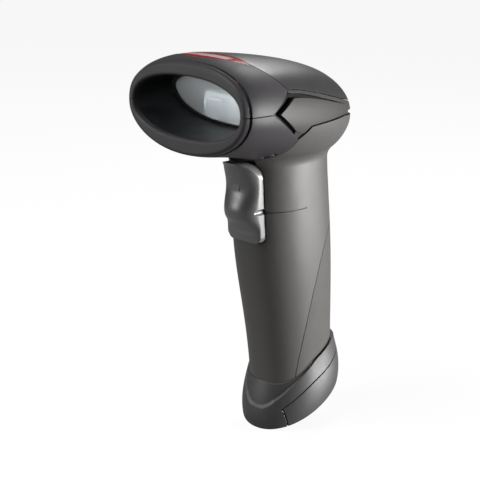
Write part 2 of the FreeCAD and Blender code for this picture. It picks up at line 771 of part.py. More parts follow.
def make_foot_cap(hollow):
    piece = hollow.common(foot_cap_prism(sizes["foot_gap"]))
    normal = foot_normal()
    piece = piece.cut(socket_box(0.12, -1.0, 12.0))
    for place_at in foot_screw_places():
        piece = piece.cut(rod(2.1, 2.56, normal, place_at - normal * 1.1))
        piece = piece.cut(rod(1.1, 5.0, normal, place_at - normal * 1.0))
    return shaped("foot_cap", piece)


def slanted_box(wide, deep, low, high, along=0.0):
    """Box square to the slanted foot, between two distances above its underside."""
    box = Part.makeBox(wide, deep, high - low, Vector(-wide / 2, -deep / 2, low))
    box.rotate(Vector(), X_AXIS, sizes["foot_slope"])
    base = foot_point(0, along, 0)
    box.translate(base)
    return box


def socket_box(grow, low, high):
    return slanted_box(sizes["socket_x"] + 2 * grow, sizes["socket_y"] + 2 * grow, low, high)


# ---------------------------------------------------------------------------------------
# Nose: tunnel liner, gasket, window, badge and rear lens
# ---------------------------------------------------------------------------------------
def make_tunnel_liner():
    front = sizes["nose_y"] + sizes["front_wall"] + 0.05
    back = sizes["throat_y"]
    liner = tunnel(sizes["liner_wall"], front, back).cut(tunnel(0.0, front - 1, back + 1))
    return shaped("tunnel_liner", liner.cut(window_slab(0.0, 80.0)))


def make_window():
    behind = sizes["gasket_thick"] + 0.05
    plate = tunnel(sizes["liner_wall"], sizes["nose_y"] + 3, sizes["throat_y"] + 4)
    slab = window_slab(behind, behind + sizes["window_thick"])
    return shaped("window", plate.common(slab))


def make_window_gasket():
    front, back = sizes["nose_y"] + 3, sizes["throat_y"] + 4
    ring = tunnel(sizes["liner_wall"], front, back)
    ring = ring.cut(tunnel(-sizes["gasket_width"], front - 1, back + 1))
    return shaped("window_gasket", ring.common(window_slab(0.03, sizes["gasket_thick"])))


def make_badge():
    skin = head_skin(0.12).cut(head_skin(sizes["badge_recess"] - 0.04))
    return shaped("badge", skin.common(badge_prism(0.12)))


def make_status_lens():
    body = doc.addObject("PartDesign::Body", "status_lens")
    wide, tall = "2 * " + cell("lens_half"), cell("lens_tall")
    base = pad(body, rectangle(body, "LensSketch", "XZ_Plane", wide, tall), cell("lens_deep"))
    soften(body, base, "1.4", Y_AXIS)
    place(body, None, cell("lens_back_y"), cell("lens_z"))
    return keep(body, "status_lens")


# ---------------------------------------------------------------------------------------
# Trigger group
# ---------------------------------------------------------------------------------------
# Trigger cross-sections: height, front and widest place. The back is one plane.
TRIGGER_STATIONS = [
    (94.4, -12.2, -11.2),
    (97.4, -13.3, -11.4),
    (100.4, -13.6, -11.6),
    (102.8, -15.2, -11.8),
    (105.4, -18.0, -12.1),
    (108.4, -19.3, -12.3),
    (112.4, -18.9, -12.5),
    (117.4, -17.4, -12.5),
    (122.0, -17.6, -12.5),
    (127.0, -19.6, -12.7),
    (131.6, -23.0, -13.2),
]
FRONT_ROUNDNESS, BACK_ROUNDNESS = 2.1, 9.0
HOLLOW_HIGH = 123.0
LEAST_REACH = 0.5


def trigger_ring(station, inset, rear):
    """Section of the trigger: a full round front and a squarer back."""
    height, front, middle = station
    points = []
    for angle in ring_angles():
        ahead = math.sin(angle) >= 0
        power = 2 / (FRONT_ROUNDNESS if ahead else BACK_ROUNDNESS)
        reach = max(middle - front - inset, LEAST_REACH) if ahead else (rear - middle)
        across = (sizes["trigger_half"] - inset) * signed_power(math.cos(angle), power)
        points.append(Vector(across, middle - reach * signed_power(math.sin(angle), power), height))
    return closed_wire(points)


def make_trigger():
    """Trigger: a hollow finger pad hung from a hub, with a presser rib behind it."""
    half = sizes["trigger_half"]
    wall = sizes["trigger_wall"]
    pivot = Vector(-half, sizes["pivot_y"], sizes["pivot_z"])
    rear = sizes["trigger_back"]
    solid = Part.makeLoft([trigger_ring(at, 0.0, rear) for at in TRIGGER_STATIONS], True)
    lowest = TRIGGER_STATIONS[0]
    stations = [(lowest[0] + wall, lowest[1] - 0.1, lowest[2])]
    stations += [at for at in TRIGGER_STATIONS[1:] if at[0] <= HOLLOW_HIGH]
    hollow = Part.makeLoft([trigger_ring(at, wall, rear + 4.0) for at in stations], True)
    solid = solid.cut(hollow).common(front_outline(0.0))
    for side in (-1, 1):
        notch = rod(sizes["notch_radius"], 80, Y_AXIS,
                    Vector(side * (half + 0.6), -60, sizes["notch_z"]))
        solid = solid.cut(notch)
    hub = rod(sizes["boss_radius"], 2 * half, X_AXIS, pivot)
    rib = bar((-sizes["presser_half"], sizes["presser_half"]), (-17.4, sizes["presser_y"]),
              (sizes["presser_z"] - 1.6, sizes["presser_z"] + 1.6))
    solid = solid.fuse(hub).fuse(rib)
    bore = rod(sizes["pin_radius"] + sizes["pivot_clearance"], 2 * half + 2, X_AXIS,
               pivot - X_AXIS)
    return shaped("trigger", solid.cut(bore))


def make_trigger_pin():
    pin = cylinder("trigger_pin", cell("pin_radius"), "2 * " + cell("pin_half"), X_AXIS,
                   "-" + cell("pin_half"), cell("pivot_y"), cell("pivot_z"))
    return keep(pin, "trigger_pin")


def make_trigger_spring():
    """Compression spring between the trigger's tail and the seat in the handle."""
    wire = sizes["spring_wire"]
    start, end = sizes["spring_front_y"] + wire / 2, sizes["spring_seat_y"] - 0.05 - wire / 2
    pitch = (end - start) / sizes["spring_turns"]
    helix = Part.makeHelix(pitch, end - start, sizes["spring_radius"])
    section = Part.Wire([Part.makeCircle(wire / 2, Vector(sizes["spring_radius"], 0, 0), Y_AXIS)])
    coil = Part.Wire(helix).makePipeShell([section], True, True)
    coil.rotate(Vector(), X_AXIS, -90)
    coil.translate(Vector(0, start, sizes["spring_z"]))
    return shaped("trigger_spring", coil)


def make_switch():
    """Small push switch on the board, with the plunger that the trigger presses."""
    body = doc.addObject("PartDesign::Body", "switch_body")
    side = cell("switch_side")
    base = pad(body, rectangle(body, "SwitchSketch", "XZ_Plane", side, side),
               cell("switch_deep"))
    bore = circle(body, "SwitchBore", "XZ_Plane", cell("plunger_radius") + " + 0.05",
                  (None, None, cell("switch_deep")))
    doc.recompute()
    pocket(body, bore, cell("plunger_long"))
    place(body, None, cell("board_y") + " - 0.02", cell("presser_z"))
    keep(body, "switch_body")
    plunger = cylinder("switch_plunger", cell("plunger_radius"), cell("plunger_long") + " + 1",
                       Y_AXIS, "0", cell("presser_y") + " + 0.16", cell("presser_z"))
    keep(plunger, "switch_plunger")
    return base


# ---------------------------------------------------------------------------------------
# Main board and what it carries
# ---------------------------------------------------------------------------------------
def make_main_board():
    body = doc.addObject("PartDesign::Body", "main_board")
    wide = "2 * " + cell("board_half")
    tall = cell("board_high") + " - " + cell("board_low")
    middle = "(%s + %s) / 2" % (cell("board_high"), cell("board_low"))
    pad(body, rectangle(body, "BoardSketch", "XZ_Plane", wide, tall, (None, middle, None)),
        cell("board_thick"))
    for name in ("post_low_z", "post_high_z"):
        doc.recompute()
        hole = circle(body, "Hole_" + name, "XZ_Plane", cell("screw_radius") + " + 0.1",
                      (None, cell(name), cell("board_thick")))
        pocket(body, hole, cell("board_thick"))
    place(body, None, cell("board_y") + " + " + cell("board_thick"), None)
    return keep(body, "main_board")


def chip(label, wide, tall, deep, z, front=False):
    """Stand a block on the back or the front face of the main board."""
    body = doc.addObject("PartDesign::Body", label)
    pad(body, rectangle(body, label + "Sketch", "XZ_Plane", wide, tall), deep)
    face = cell("board_y") + " - 0.02"
    if not front:
        face = "%s + %s + 0.02 + %s" % (cell("board_y"), cell("board_thick"), deep)
    place(body, None, face, z)
    return keep(body, label)


def make_board_parts():
    side = cell("decoder_side")
    chip("decoder_chip", side, side, cell("decoder_tall"), cell("decoder_z"))
    chip("memory_chip", cell("memory_wide"), cell("memory_deep"), cell("memory_tall"),
         cell("memory_z"))
    chip("cable_header", cell("header_wide"), cell("header_tall"), cell("header_deep"),
         cell("header_z"))
    face = "%s + %s + 0.02" % (cell("board_y"), cell("board_thick"))
    can = cylinder("BuzzerCan", cell("buzzer_radius"), cell("buzzer_tall"), Y_AXIS, "0", face,
                   cell("buzzer_z"))
    port = cylinder("BuzzerPort", cell("buzzer_port"), "2", Y_AXIS, "0",
                    "%s + %s - 1" % (face, cell("buzzer_tall")), cell("buzzer_z"))
    buzzer = doc.addObject("Part::Cut", "buzzer")
    buzzer.Base = can
    buzzer.Tool = port
    keep(buzzer, "buzzer")


def screw_shape(base, direction, length):
    """Pan-head screw whose head rests at the base point and whose shank follows."""
    shank = rod(sizes["screw_radius"], length, direction, base)
    head = rod(sizes["screw_head_radius"], sizes["screw_head_tall"], direction * -1, base)
    tall = sizes["screw_head_tall"]
    slot = rod(0.8, 0.7, direction, base - direction * tall)
    return shank.fuse(head).cut(slot)


def make_screws():
    """Groups of identical screws: the board's, the engine's and the foot cap's."""
    back = sizes["board_y"] + sizes["board_thick"] + 0.02
    board = [screw_shape(Vector(0, back, sizes[name]), Y_AXIS * -1, sizes["screw_long"])
             for name in ("post_low_z", "post_high_z")]
    shaped("board_screws", Part.makeCompound(board))
    top = sizes["engine_floor_z"] + sizes["engine_floor"] + 0.62
    engine = []
    for side, row in ENGINE_SCREWS:
        x, y = engine_screw_place(side, row)
        engine.append(screw_shape(Vector(x, y, top), Z_AXIS * -1, sizes["screw_long"] + 3.0))
    shaped("engine_screws", Part.makeCompound(engine))
    normal = foot_normal()
    foot = [screw_shape(point + normal * 1.42, normal, sizes["screw_long"] + 3.0)
            for point in foot_screw_places()]
    shaped("foot_screws", Part.makeCompound(foot))


# ---------------------------------------------------------------------------------------
# Scan engine
# ---------------------------------------------------------------------------------------
def engine_middle_y():
    return "(%s + %s) / 2" % (cell("engine_front"), cell("engine_back"))


def engine_depth():
    return "(%s - %s)" % (cell("engine_back"), cell("engine_front"))


def make_engine_frame():
    """Open tray with a beam aperture and a detector window in its front wall."""
    body = doc.addObject("PartDesign::Body", "engine_frame")
    wide = "2 * " + cell("engine_half")
    tall = cell("engine_top_z") + " - " + cell("engine_floor_z")
    pad(body, rectangle(body, "TraySketch", "XY_Plane", wide, engine_depth()), tall)
    doc.recompute()
    room = rectangle(body, "TrayRoom", "XY_Plane", wide + " - 2 * " + cell("engine_wall"),
                     engine_depth() + " - 2 * " + cell("engine_wall"), (None, None, tall))
    pocket(body, room, tall + " - " + cell("engine_floor"))
    doc.recompute()
    depth = engine_depth() + " / 2"
    lift = " - " + cell("engine_floor_z")
    windows = (("Aperture", "aperture_x", "aperture_wide", "aperture_tall", "aperture_z"),
               ("DetectorPort", "bezel_x", "detector_side", "detector_side", "bezel_z"))
    for name, x, across, upward, z in windows:
        port = rectangle(body, name, "XZ_Plane", cell(across) + " + 0.4", cell(upward) + " + 0.4",
                         (cell(x), cell(z) + lift, depth))
        pocket(body, port, "3")
        doc.recompute()
    for side, row in ENGINE_SCREWS:
        sign = "-" if side < 0 else ""
        hole = circle(body, "MountHole%s%d" % (row, side + 1), "XY_Plane",
                      cell("grommet_radius") + " - 0.7",
                      (sign + cell("engine_screw_x"),
                       "%s - %s" % (cell("engine_screw_" + row), engine_middle_y()),
                       cell("engine_floor")))
        pocket(body, hole, cell("engine_floor"))
        doc.recompute()
    place(body, None, engine_middle_y(), cell("engine_floor_z"))
    return keep(body, "engine_frame")


def make_grommets():
    """Rubber rings that hold the tray off its four posts."""
    rings = []
    radius = sizes["grommet_radius"]
    floor = sizes["engine_floor_z"]
    for side, row in ENGINE_SCREWS:
        x, y = engine_screw_place(side, row)
        lower = rod(radius, 0.96, Z_AXIS, Vector(x, y, floor - 0.98))
        sleeve = rod(radius - 0.75, 2.6, Z_AXIS, Vector(x, y, floor - 0.5))
        upper = rod(radius, 0.55, Z_AXIS, Vector(x, y, floor + sizes["engine_floor"] + 0.02))
        bore = rod(1.1, 9, Z_AXIS, Vector(x, y, floor - 3))
        rings.append(lower.fuse(sleeve).fuse(upper).cut(bore).removeSplitter())
    shaped("isolator_grommets", Part.makeCompound(rings))


def make_engine_board():
    top = cell("engine_top_z") + " + 0.02"
    block("engine_board", "2 * %s - 2" % cell("engine_half"), engine_depth() + " - 1",
          cell("engine_board"), None, engine_middle_y(), top, "1.0")
    face = "%s + %s + 0.04" % (cell("engine_top_z"), cell("engine_board"))
    block("engine_chip", cell("memory_deep"), cell("memory_deep"), cell("memory_tall"), "-8",
          "-2", face)


def make_mirror_group():
    """Swinging mirror on its shaft, with the coil that drives it."""
    floor = cell("engine_floor_z") + " + " + cell("engine_floor")
    shaft = cylinder("mirror_shaft", cell("shaft_radius"), cell("shaft_long"), Z_AXIS,
                     cell("mirror_x"), cell("mirror_y"), floor + " + 0.01")
    keep(shaft, "mirror_shaft")
    x, y = sizes["mirror_x"], sizes["mirror_y"]
    low = sizes["engine_floor_z"] + sizes["engine_floor"] + 0.6
    tall = sizes["mirror_tall"]
    hub = rod(sizes["hub_radius"], tall + 1, Z_AXIS, Vector(x, y, low))
    thick = sizes["mirror_thick"]
    half = sizes["mirror_wide"] / 2
    plate = bar((x - half, x + half), (y - sizes["hub_radius"] - thick + 0.4,
                                       y - sizes["hub_radius"] + 0.4), (low + 0.5, low + 0.5 + tall))
    magnet = bar((x - 2.2, x + 2.2), (y + 1.2, y + 3.4), (low + 2.4, low + 7.4))
    swing = hub.fuse(plate).fuse(magnet)
    swing.rotate(Vector(x, y, 0), Z_AXIS, -sizes["mirror_lean"])
    bore = rod(sizes["shaft_radius"] + 0.05, 20, Z_AXIS, Vector(x, y, low - 2))
    shaped("scan_mirror", swing.cut(bore))
    coil_base = Vector(x + 7.2, y + 2.2, low + 4.9)
    coil = rod(sizes["coil_radius"], sizes["coil_thick"], Y_AXIS, coil_base)
    coil = coil.cut(rod(1.4, 9, Y_AXIS, coil_base - Y_AXIS))
    shaped("drive_coil", coil)


def make_laser():
    """Laser barrel aimed across the tray at the mirror, with its lens."""
    height = cell("aperture_z")
    barrel = cylinder("LaserBarrel", cell("laser_radius"), cell("laser_long"), X_AXIS,
                      "%s - %s" % (cell("laser_x"), cell("laser_long")), cell("mirror_y"), height)
    bore = cylinder("LaserBore", cell("laser_radius") + " - 0.7", "2", X_AXIS,
                    "%s - 1.6" % cell("laser_x"), cell("mirror_y"), height)
    module = doc.addObject("Part::Cut", "laser_module")
    module.Base = barrel
    module.Tool = bore
    keep(module, "laser_module")
    lens = cylinder("laser_lens", cell("laser_radius") + " - 0.72", cell("laser_lens_thick"),
                    X_AXIS, "%s - 1.5" % cell("laser_x"), cell("mirror_y"), height)
    keep(lens, "laser_lens")
    block("laser_cradle", "6", "4.6", "3.2", "%s - 5" % cell("laser_x"), cell("mirror_y"),
          "%s + %s + 0.01" % (cell("engine_floor_z"), cell("engine_floor")))


def make_detector():
    """Bezel, filter and photodetector behind the port in the tray's front wall."""
    body = doc.addObject("PartDesign::Body", "detector_bezel")
    wide, tall = cell("bezel_wide"), cell("bezel_tall")
    pad(body, rectangle(body, "BezelSketch", "XZ_Plane", wide, tall), cell("bezel_deep"))
    doc.recompute()
    wall = " - 2 * " + cell("bezel_wall")
    room = rectangle(body, "BezelRoom", "XZ_Plane", wide + wall, tall + wall,
                     (None, None, cell("bezel_deep")))
    pocket(body, room, cell("bezel_deep") + " + 1")
    place(body, cell("bezel_x"), cell("engine_front") + " - 0.02", cell("bezel_z"))
    keep(body, "detector_bezel")
    sheet_body = doc.addObject("PartDesign::Body", "optical_filter")
    pad(sheet_body, rectangle(sheet_body, "FilterSketch", "XZ_Plane", wide + wall + " - 0.1",
                              tall + wall + " - 0.1"), cell("filter_thick"))
    place(sheet_body, cell("bezel_x"), cell("engine_front") + " - 0.1", cell("bezel_z"))
    keep(sheet_body, "optical_filter")
    chip_body = doc.addObject("PartDesign::Body", "photodetector")
    side = cell("detector_side")
    pad(chip_body, rectangle(chip_body, "DetectorSketch", "XZ_Plane", side, side),
        cell("detector_thick"))
    place(chip_body, cell("bezel_x"), cell("engine_front") + " + 1.5", cell("bezel_z"))
    keep(chip_body, "photodetector")


# ---------------------------------------------------------------------------------------
# Flex lead, cable socket and its harness
# ---------------------------------------------------------------------------------------
def make_flex_lead():
    """Flat lead from the top of the main board to the back of the engine board."""
    half, thick = sizes["flex_half"], sizes["flex_thick"]
    board_face = sizes["board_y"] + sizes["board_thick"]
    low = sizes["board_high"] - 1.5
    top = sizes["engine_top_z"] + sizes["engine_board"] + 1.2
    bulge = sizes["flex_back"]
    curve = Part.BSplineCurve()
    curve.interpolate([Vector(-half, board_face + 1.2, low), Vector(-half, board_face + 1.6, 130),
                       Vector(-half, bulge - 0.5, 146), Vector(-half, bulge, top - 3),
                       Vector(-half, bulge - 2.6, top), Vector(-half, sizes["engine_back"] - 3, top)])
    path = Part.Wire([curve.toShape()])
    start = Part.makePolygon([Vector(-half, board_face + 1.2, low),
                              Vector(half, board_face + 1.2, low),
                              Vector(half, board_face + 1.2 + thick, low),
                              Vector(-half, board_face + 1.2 + thick, low),
                              Vector(-half, board_face + 1.2, low)])
    shaped("flex_lead", path.makePipeShell([start], True, False))
    clip_half, deep, tall = sizes["clip_half"], sizes["clip_deep"], sizes["clip_tall"]
    lower = bar((-clip_half, clip_half), (board_face + 0.02, board_face + deep),
                (low - tall, low - 0.15))
    roof = sizes["engine_top_z"] + sizes["engine_board"] + 0.04
    upper = bar((-clip_half, clip_half), (sizes["engine_back"] - 3 - tall,
                                          sizes["engine_back"] - 3.15), (roof, roof + deep))
    shaped("flex_connectors", Part.makeCompound([lower, upper]))


def make_socket():
    """Square cable socket set into the slanted foot, with a row of contacts."""
    low = 0.6
    shell = socket_box(0.0, low, sizes["socket_long"])
    mouth = slanted_box(sizes["mouth_wide"], sizes["mouth_deep"], low - 1, sizes["socket_depth"])
    shaped("cable_socket", shell.cut(mouth))
    contacts = []
    pitch, thick = sizes["contact_pitch"], sizes["contact_thick"]
    for index in range(int(sizes["contact_count"])):
        x = (index - (sizes["contact_count"] - 1) / 2) * pitch
        contact = Part.makeBox(thick, 0.5, 7.0, Vector(x - thick / 2, -3.68, 3.5))
        contact.rotate(Vector(), X_AXIS, sizes["foot_slope"])
        contact.translate(foot_point(0, 0, 0))
        contacts.append(contact)
    shaped("socket_contacts", Part.makeCompound(contacts))


def make_harness():
    """Bundle of wires from the top of the socket to the header on the main board."""
    normal = foot_normal()
    start = foot_point(0, 0, 0) + normal * (sizes["socket_long"] + 0.1)
    header = Vector(0, sizes["board_y"] + sizes["board_thick"] + sizes["header_deep"] + 0.2,
                    sizes["header_z"])
    curve = Part.BSplineCurve()
    curve.interpolate(Points=[start, start + normal * 6 + Vector(0, 1.5, 2),
                              header + Vector(0, 6.5, -9), header + Vector(0, 4.2, -1.2), header],
                      InitialTangent=normal * 12, FinalTangent=Vector(0, -9, 0))
    radius = sizes["harness_radius"]
    section = Part.Wire([Part.makeCircle(radius, start, normal)])
    path = Part.Wire([curve.toShape()])
    shaped("socket_harness", path.makePipeShell([section], True, False))


# ---------------------------------------------------------------------------------------
# Assembly
# ---------------------------------------------------------------------------------------
def build():
    make_upper_cowl()
    make_lower_cowl()
    make_top_cover()
    make_side_panels()
    make_side_trims()
    make_grip_housing()
    make_grip_back_cover()
    hollow = hollow_boot()
    make_boot(hollow)
    make_foot_cap(hollow)
    make_tunnel_liner()
    make_window()
    make_window_gasket()
    make_badge()
    make_status_lens()
    make_trigger()
    make_trigger_pin()
    make_trigger_spring()
    make_switch()
    make_main_board()
    make_board_parts()
    make_screws()
    make_engine_frame()
    make_grommets()
    make_engine_board()
    make_mirror_group()
    make_laser()
    make_detector()
    make_flex_lead()
    make_socket()
    make_harness()


def check():
    """Stop if any object failed or any sub-part has no sound shape."""
    doc.recompute()
    for obj in doc.Objects:
        if "Invalid" in obj.State or "Error" in obj.State:
            raise RuntimeError("failed object: %s %s" % (obj.Name, obj.State))
    for obj in sub_parts:
        shape = obj.Shape
        if shape.isNull() or not shape.isValid() or shape.Volume <= 0:
            raise RuntimeError("bad shape: " + obj.Label)
        box = shape.BoundBox
        print("%-20s solids %2d  volume %9.1f  x %6.1f..%6.1f  y %6.1f..%6.1f  z %6.1f..%6.1f" % (
            obj.Label, len(shape.Solids), shape.Volume, box.XMin, box.XMax, box.YMin, box.YMax,
            box.ZMin, box.ZMax))


def write():
    os.makedirs("parts", exist_ok=True)
    for obj in sub_parts:
        obj.Shape.exportStep("parts/%s.step" % obj.Label)


build()
check()
write()
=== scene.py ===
"""Handheld barcode scanner: finishes, detailed pieces, studio and camera.

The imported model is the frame. Every piece is in metres, in the model's own frame, and takes its
place from the boxes of the model's nodes.
"""
import json
import logging
import math
from dataclasses import dataclass, field
from enum import Enum
from typing import Callable, Iterable, Protocol, Sequence

import bpy
from mathutils import Matrix, Vector

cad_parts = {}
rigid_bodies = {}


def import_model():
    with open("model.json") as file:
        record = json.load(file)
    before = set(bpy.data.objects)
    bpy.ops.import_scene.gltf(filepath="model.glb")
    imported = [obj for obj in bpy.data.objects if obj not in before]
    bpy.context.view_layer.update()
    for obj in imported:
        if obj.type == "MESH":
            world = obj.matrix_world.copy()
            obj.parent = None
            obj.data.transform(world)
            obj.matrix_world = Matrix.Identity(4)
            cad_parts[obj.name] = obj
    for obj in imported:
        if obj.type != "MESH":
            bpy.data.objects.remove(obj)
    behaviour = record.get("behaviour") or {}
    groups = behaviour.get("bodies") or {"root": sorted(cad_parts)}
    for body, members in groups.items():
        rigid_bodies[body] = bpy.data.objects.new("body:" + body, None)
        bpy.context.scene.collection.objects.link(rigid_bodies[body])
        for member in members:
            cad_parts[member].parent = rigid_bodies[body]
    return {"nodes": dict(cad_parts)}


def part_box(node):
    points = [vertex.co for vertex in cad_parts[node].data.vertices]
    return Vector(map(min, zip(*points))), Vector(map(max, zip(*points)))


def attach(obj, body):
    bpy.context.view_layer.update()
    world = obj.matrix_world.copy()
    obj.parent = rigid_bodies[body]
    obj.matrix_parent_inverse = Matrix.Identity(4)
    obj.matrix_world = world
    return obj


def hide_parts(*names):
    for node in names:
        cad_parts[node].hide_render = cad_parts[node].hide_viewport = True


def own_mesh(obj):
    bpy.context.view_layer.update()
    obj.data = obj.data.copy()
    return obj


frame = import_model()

LOG = logging.getLogger("scanner")
MM = 0.001


# ---------------------------------------------------------------------------------------
# Shader maths
# ---------------------------------------------------------------------------------------
class Signal:
    """A number that travels between a material's nodes, with arithmetic as expressions."""

    def __init__(self, graph: "Graph", socket: bpy.types.NodeSocket) -> None:
        """Wrap one output socket of a graph."""
        self.graph = graph
        self.socket = socket

    def _maths(self, operation: str, first: object, second: object = None) -> "Signal":
        """Add one Math node.

        Args:
            operation: The Math node's operation.
            first: Its first value or signal.
            second: Its second value or signal, if it has one.

        Returns:
            The result as a new signal.
        """
        inputs = {0: first} if second is None else {0: first, 1: second}
        return self.graph.node("ShaderNodeMath", {"operation": operation}, inputs)

    def __add__(self, other: object) -> "Signal":
        """Sum."""
        return self._maths("ADD", self, other)

    def __radd__(self, other: object) -> "Signal":
        """Sum, reflected."""
        return self._maths("ADD", other, self)

    def __sub__(self, other: object) -> "Signal":
        """Difference."""
        return self._maths("SUBTRACT", self, other)

    def __rsub__(self, other: object) -> "Signal":
        """Difference, reflected."""
        return self._maths("SUBTRACT", other, self)

    def __mul__(self, other: object) -> "Signal":
        """Product."""
        return self._maths("MULTIPLY", self, other)

    def __rmul__(self, other: object) -> "Signal":
        """Product, reflected."""
        return self._maths("MULTIPLY", other, self)

    def __truediv__(self, other: object) -> "Signal":
        """Quotient."""
        return self._maths("DIVIDE", self, other)

    def __rtruediv__(self, other: object) -> "Signal":
        """Quotient, reflected."""
        return self._maths("DIVIDE", other, self)

    def __pow__(self, other: object) -> "Signal":
        """Power."""
        return self._maths("POWER", self, other)

    def __abs__(self) -> "Signal":
        """Size without its sign."""
        return self._maths("ABSOLUTE", self)

    def sine(self) -> "Signal":
        """Sine, in radians."""
        return self._maths("SINE", self)

    def step(self, edge: float, width: float) -> "Signal":
        """Rise smoothly from 0 to 1 around an edge.

        Args:
            edge: Where the rise is half done.
            width: How wide the rise is.

        Returns:
            The mask.
        """
        settings = {"interpolation_type": "SMOOTHSTEP"}
        inputs = {0: self, 1: edge - width / 2, 2: edge + width / 2, 3: 0.0, 4: 1.0}
        return self.graph.node("ShaderNodeMapRange", settings, inputs)


class Graph:
    """The node tree of one material, built by expressions."""

    def __init__(self, name: str) -> None:
        """Start a material with an empty tree and its output."""
        self.material = bpy.data.materials.new(name)
        self.material.use_nodes = True
        self.tree = self.material.node_tree
        self.tree.nodes.clear()
        self.output = self.tree.nodes.new("ShaderNodeOutputMaterial")

    def node(self, kind: str, settings: dict | None = None, inputs: dict | None = None,
             output: int | str = 0) -> Signal:
        """Add one node.

        Args:
            kind: The node's type.
            settings: Its properties, set before its sockets.
            inputs: Values or signals by socket name or number.
            output: The output wanted.

        Returns:
            That output as a signal.
        """
        made = self.tree.nodes.new(kind)
        for key, value in (settings or {}).items():
            setattr(made, key, value)
        for key, value in (inputs or {}).items():
            if isinstance(value, Signal):
                self.tree.links.new(value.socket, made.inputs[key])
            else:
                made.inputs[key].default_value = value
        return Signal(self, made.outputs[output])

    def place(self) -> Signal:
        """Object coordinates, in metres."""
        return self.node("ShaderNodeTexCoord", output="Object")

    def axes(self) -> tuple[Signal, Signal, Signal]:
        """The three object coordinates as numbers.

        Returns:
            X, Y and Z in metres.
        """
        split = self.node("ShaderNodeSeparateXYZ", {}, {0: self.place()})
        outputs = split.socket.node.outputs
        return tuple(Signal(self, outputs[index]) for index in range(3))

    def noise(self, size: float, detail: float = 3.0, roughness: float = 0.55,
              distortion: float = 0.0) -> Signal:
        """Noise with lumps of a given size.

        Args:
            size: Lump size in metres.
            detail: Octaves.
            roughness: How strong the fine octaves are.
            distortion: How far the lumps are pulled about.

        Returns:
            The noise, around one half.
        """
        inputs = {"Vector": self.place(), "Scale": 1.0 / size, "Detail": detail,
                  "Roughness": roughness, "Distortion": distortion}
        return self.node("ShaderNodeTexNoise", {}, inputs)

    def blend(self, share: object, first: object, second: object) -> Signal:
        """Mix two colours.

        Args:
            share: How much of the second.
            first: Colour or signal.
            second: Colour or signal.

        Returns:
            The mixed colour.
        """
        made = self.tree.nodes.new("ShaderNodeMix")
        made.data_type = "RGBA"
        for socket, value in ((made.inputs[0], share), (made.inputs[6], first),
                              (made.inputs[7], second)):
            if isinstance(value, Signal):
                self.tree.links.new(value.socket, socket)
            else:
                socket.default_value = value
        return Signal(self, made.outputs[2])

    def edges(self, radius: float) -> tuple[Signal, Signal]:
        """Rounded normal and a mask of the edges it rounds.

        Args:
            radius: Edge radius in metres.

        Returns:
            The rounded normal and the mask, 1 on an edge.
        """
        rounded = self.node("ShaderNodeBevel", {"samples": 4}, {"Radius": radius})
        flat = self.node("ShaderNodeNewGeometry", output="Normal")
        dot = self.node("ShaderNodeVectorMath", {"operation": "DOT_PRODUCT"},
                        {0: rounded, 1: flat}, output="Value")
        return rounded, (1.0 - dot).step(0.10, 0.16)

    def bump(self, height: Signal, distance: float, strength: float,
             normal: Signal | None = None) -> Signal:
        """Turn a height into a normal."""
        inputs = {"Height": height, "Distance": distance, "Strength": strength}
        if normal is not None:
            inputs["Normal"] = normal
        return self.node("ShaderNodeBump", {}, inputs)

    def surface(self, values: dict) -> bpy.types.Material:
        """Close the graph with the shader.

        Args:
            values: Values or signals for the shader's sockets.

        Returns:
            The material.
        """
        shader = self.node("ShaderNodeBsdfPrincipled", {}, values)
        self.tree.links.new(shader.socket, self.output.inputs["Surface"])
        return self.material


def rgb(red: float, green: float, blue: float) -> tuple[float, float, float, float]:
    """Opaque colour."""
    return (red, green, blue, 1.0)


def scaled(colour: Sequence[float], factor: float) -> tuple[float, float, float, float]:
    """A colour made lighter or darker."""
    return rgb(*(min(1.0, channel * factor) for channel in colour[:3]))


# ---------------------------------------------------------------------------------------
# Finishes
# ---------------------------------------------------------------------------------------
class Finish(Protocol):
    """Anything with a name that can make a material."""

    name: str

    def make(self) -> bpy.types.Material:
        """Build the material."""


class Grain(Enum):
    """Surface texture left by the mould, as lump size and depth in metres."""

    POLISHED = (0.0011, 0.000004)
    SATIN = (0.00045, 0.000010)
    SPARK = (0.00034, 0.000022)
    COARSE = (0.00060, 0.000050)


@dataclass(frozen=True)
class Plastic:
    """Moulded plastic: mould texture, slight flow mottling and polished edges."""

    name: str
    colour: tuple[float, float, float]
    roughness: float
    grain: Grain = Grain.SPARK
    mottle: float = 0.10
    edge: float = 0.00030
    edge_light: float = 1.5
    coat: float = 0.0
    coat_roughness: float = 0.2
    specular: float = 0.5

    def make(self) -> bpy.types.Material:
        """Build the material.

        Returns:
            The material, with colour, roughness and normal that vary over the surface.
        """
        graph = Graph(self.name)
        rounded, edge = graph.edges(self.edge)
        flow = graph.noise(0.021, 4.0, 0.6, 0.6)
        fine = graph.noise(self.grain.value[0], 2.0, 0.6)
        handling = graph.noise(0.009, 5.0, 0.62).step(0.56, 0.24)
        tone = (flow - 0.5) * (2.0 * self.mottle) + (fine - 0.5) * 0.12 + 0.5
        dark, light = scaled(self.colour, 0.86), scaled(self.colour, 1.14)
        body = graph.blend(tone, dark, light)
        worn = graph.blend(edge * (handling * 0.5 + 0.35), body,
                           scaled(self.colour, self.edge_light))
        rough = (fine - 0.5) * 0.16 + self.roughness + handling * 0.05 - edge * 0.08
        height = fine + flow * 0.4
        normal = graph.bump(height, self.grain.value[1], 1.0, rounded)
        return graph.surface({
            "Base Color": worn, "Roughness": rough, "Normal": normal,
            "Coat Weight": self.coat, "Coat Roughness": self.coat_roughness,
            "Specular IOR Level": self.specular,
        })


